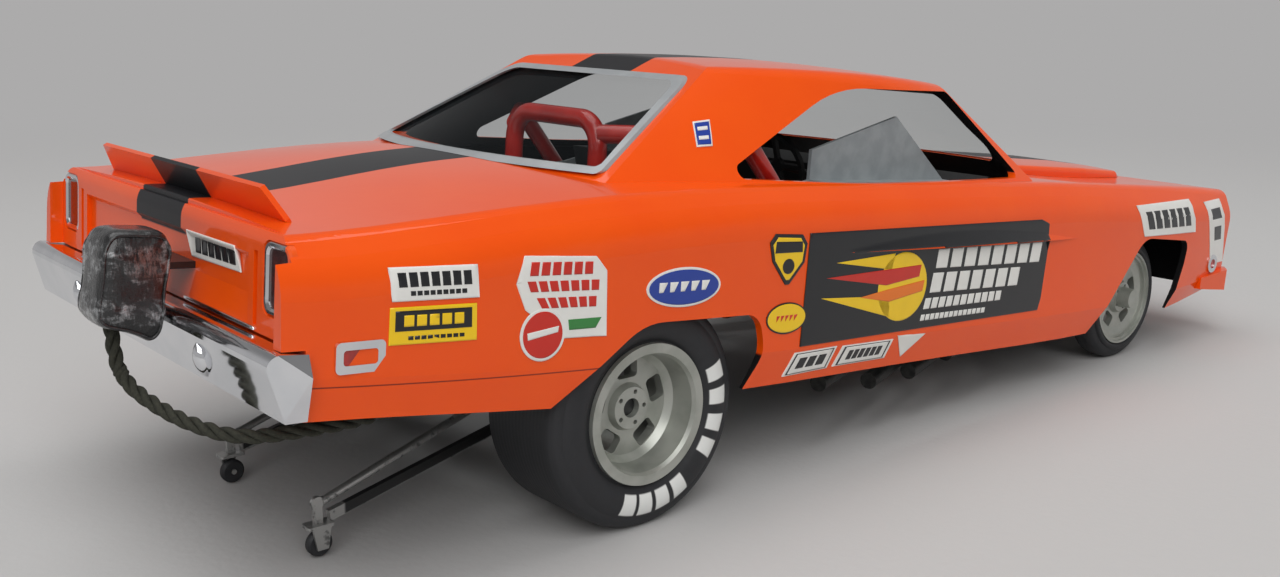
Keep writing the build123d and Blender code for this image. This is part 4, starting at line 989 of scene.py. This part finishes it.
WORN_BY = {
    "grey_trim": ("windshield_trim", "rear_window_trim"),
    "bright_plate": ("rear_bumper", "side_marker_bezels"),
    "red_lens": ("taillight_lenses",),
    "amber_lens": ("side_marker_lenses",),
    "lamp_glass": ("headlamps",),
    "dark_grille": ("grille",),
    "cast_silver": tuple(name for name in nodes if name.startswith("wheel_")),
    "frame_paint": (
        "frame_rail_left",
        "frame_rail_right",
        "crossmembers",
        "front_axle",
        "radius_rods",
        "rear_axle",
        "driveline",
        "parachute_bracket",
    ),
    "cage_paint": ("roll_cage",),
    "tin_grey": ("interior_tin",),
    "pipe_grey": ("headers_left", "headers_right"),
    "engine_orange": ("engine",),
    "seat_black": ("driver_seat", "dash", "steering_wheel"),
}
finishes = {}
for name, (first, second, grain, metallic, roughness, coat, bump) in PLAIN_FINISHES.items():
    finish = Finish(name, Metallic=metallic, Coat_Weight=coat, Coat_Roughness=0.05)
    clouds = finish.noise(grain, 3.0)
    finish.set(
        Base_Color=finish.mix(clouds.above(0.5, 0.16), colour(*second), colour(*first)),
        Roughness=roughness + (clouds - 0.5) * 0.12,
    )
    finish.bump(clouds, bump)
    finishes[name] = finish
    wear(finish, *WORN_BY[name])
print(len(finishes), "finishes from the table")

# %% [markdown]
# The bright rims of the tail lamps go behind the corners of the quarters. The outer upper corner of
# the right one shows above its quarter, so there the solid wears the body's orange: the place
# decides, as for the stripe.

# %% Tail lamp rims
RIM_EDGE = 33.1
RIM_TOP = 34.9
rims = Finish("lamp_rims", Coat_Roughness=0.05)
across, up = rims.level_place()[::2]
rim_clouds = rims.noise(5.0, 3.0)
painted = (-across).above(RIM_EDGE, 0.05) * up.above(RIM_TOP, 0.05)
plated = rims.mix(rim_clouds, colour(222, 224, 228), colour(232, 233, 236))
rims.set(
    Base_Color=rims.mix(painted, plated, ORANGE),
    Metallic=1 - painted,
    Roughness=painted * 0.27 + rim_clouds * 0.04 + 0.05,
    Coat_Weight=painted * 0.6,
)
rims.bump(rim_clouds, 0.006)
wear(rims, "taillight_bezels")

# %% [markdown]
# A thin bright strip lies on the panel just above the bumper, on each side of the pack. Its section is
# an ellipse, and the ends are rounded by letting the section shrink along a superellipse.

# %% Bright strips on the tail
STRIP_HALF = (9.5, 0.26, 0.24)
STRIP_POWER = 24
STRIP_MIDDLE = (17.5, 48.06, 27.3)


def strip_skin(side, rows=40, columns=12):
    """point = middle + half sizes * (t, e cos a, e sin a), with e = (1 - |t|^24)^(1/2)."""
    run, angle = np.meshgrid(
        np.linspace(-1, 1, rows), np.linspace(0, 2 * np.pi, columns, endpoint=False), indexing="ij"
    )
    size = np.sqrt(1 - np.abs(run) ** STRIP_POWER)
    offset = np.stack([run, size * np.cos(angle), size * np.sin(angle)], axis=-1) * STRIP_HALF
    return seated(offset + (side * STRIP_MIDDLE[0], *STRIP_MIDDLE[1:]))


strip_skins = joined([strip_skin(-1), strip_skin(1)])
strips = merged(new_piece("tail_strips", *strip_skins, finishes["bright_plate"]))
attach(strips, "car")
print("tail strips:", len(strips.data.polygons), "faces")

# %% [markdown]
# Each wheelie bar is one solid with two tones. Its upper rod and its tail are bright steel, and the
# flat bar under it is black with a rubbed lower edge. A sloping line between the two divides them.

# %% Steel of the wheelie bars
ROD_HEIGHT, ROD_FALL = 12.6, 0.193
EDGE_HEIGHT, EDGE_FALL = 9.94, 0.165
BAR_TAIL = 32.2
bar_steel = Finish("bar_steel")
back, up = bar_steel.place()[1:]
back = back - REAR_AXLE_Y
upper_rod = (up - ROD_HEIGHT + back * ROD_FALL).above(0, 0.1)
rubbed_edge = (up - EDGE_HEIGHT + back * EDGE_FALL).below(0, 0.1)
tail = back.above(BAR_TAIL, 0.2)
grime = bar_steel.noise(1.1, 4.0)
bright = upper_rod.greater(rubbed_edge).greater(tail) * (grime.below(0.62, 0.08) * 0.8 + 0.2)
bar_steel.set(
    Base_Color=bar_steel.mix(bright, colour(26, 26, 27), colour(178, 178, 176)),
    Metallic=bright * 0.8,
    Roughness=0.46 - bright * 0.12 + (grime - 0.5) * 0.1,
)
bar_steel.bump(grime, 0.01)
wear(bar_steel, "wheelie_bar_left", "wheelie_bar_right")

# %% [markdown]
# The tyres are smooth slicks. Their tread carries the faint rings that a mould leaves, which are a
# sine of the distance along the axle. The right rear tyre has eight plain white marks, from just
# above the middle of its front round to its foot: each is where the angle about the axle is near
# the mark's own, between two radii.

# %% Tyre rubber
REAR_TYRE_R = 14.86
MARK_ANGLES = (-17.5, -1.0, 16.5, 33.0, 65.0, 79.5, 93.5, 107.0)
MARK_HALF = 5.4
MARK_INNER, MARK_OUTER = 10.2, 12.9
RIGHT_WALL_X = -30
RINGS_PER_MM = 9.0
rubber = Finish("tyre_black")
across, back, up = rubber.place()
rings = (abs(across) * RINGS_PER_MM).sine() * 0.5 + 0.5
scuffs = rubber.noise(0.9, 4.0)
forward, below = REAR_AXLE_Y - back, REAR_TYRE_R - up
angle = below.maths("ARCTAN2", below, forward) * (180 / math.pi)
radius = (forward * forward + below * below) ** 0.5
near = abs(angle - MARK_ANGLES[0])
for mark in MARK_ANGLES[1:]:
    near = near.lesser(abs(angle - mark))
ring = radius.above(MARK_INNER, 0.12) * radius.below(MARK_OUTER, 0.12)
marks = near.below(MARK_HALF, 0.5) * ring * across.below(RIGHT_WALL_X, 1.0)
rubber.set(
    Base_Color=rubber.mix(
        marks, rubber.mix(scuffs, colour(24, 25, 28), colour(40, 41, 44)), colour(228, 229, 226)
    ),
    Roughness=0.52 + scuffs * 0.14,
)
rubber.bump(rings * 0.6 + scuffs * 0.4 + marks, 0.03)
wear(rubber, *[name for name in nodes if name.startswith("tire_") or name.startswith("wheelie_wheel")])

# %% [markdown]
# Clear styrene is nearly invisible face on and mirrors the room at a glancing angle. A Mix Shader
# between a transparent and a glossy surface, led by Fresnel, does that without the noise of refraction
# in walls only 0.6 mm thick. On the far side of the wall the ray is inside the plastic, where Fresnel
# would make it a mirror, so Geometry's Backfacing keeps that side clear.

# %% Clear parts
clear = Finish("clear_glass", Base_Color=colour(60, 66, 70), Roughness=0.04)
see_through = clear.node("ShaderNodeBsdfTransparent", {}, {"Color": (0.93, 0.94, 0.94, 1.0)})
fresnel = clear.node("ShaderNodeFresnel", {}, {"IOR": 1.5})
facing = 1 - clear.node("ShaderNodeNewGeometry", output="Backfacing")
haze = clear.noise(6.0, 3.0) * 0.03
window_look = clear.node("ShaderNodeMixShader", {}, ((fresnel * 0.5 + haze + 0.02) * facing, see_through))
clear.put(window_look.node.inputs[2], Link(clear, clear.shader.outputs["BSDF"]))
clear.put(clear.tree.nodes["Material Output"].inputs["Surface"], window_look)
wear(clear, "windshield", "rear_window")
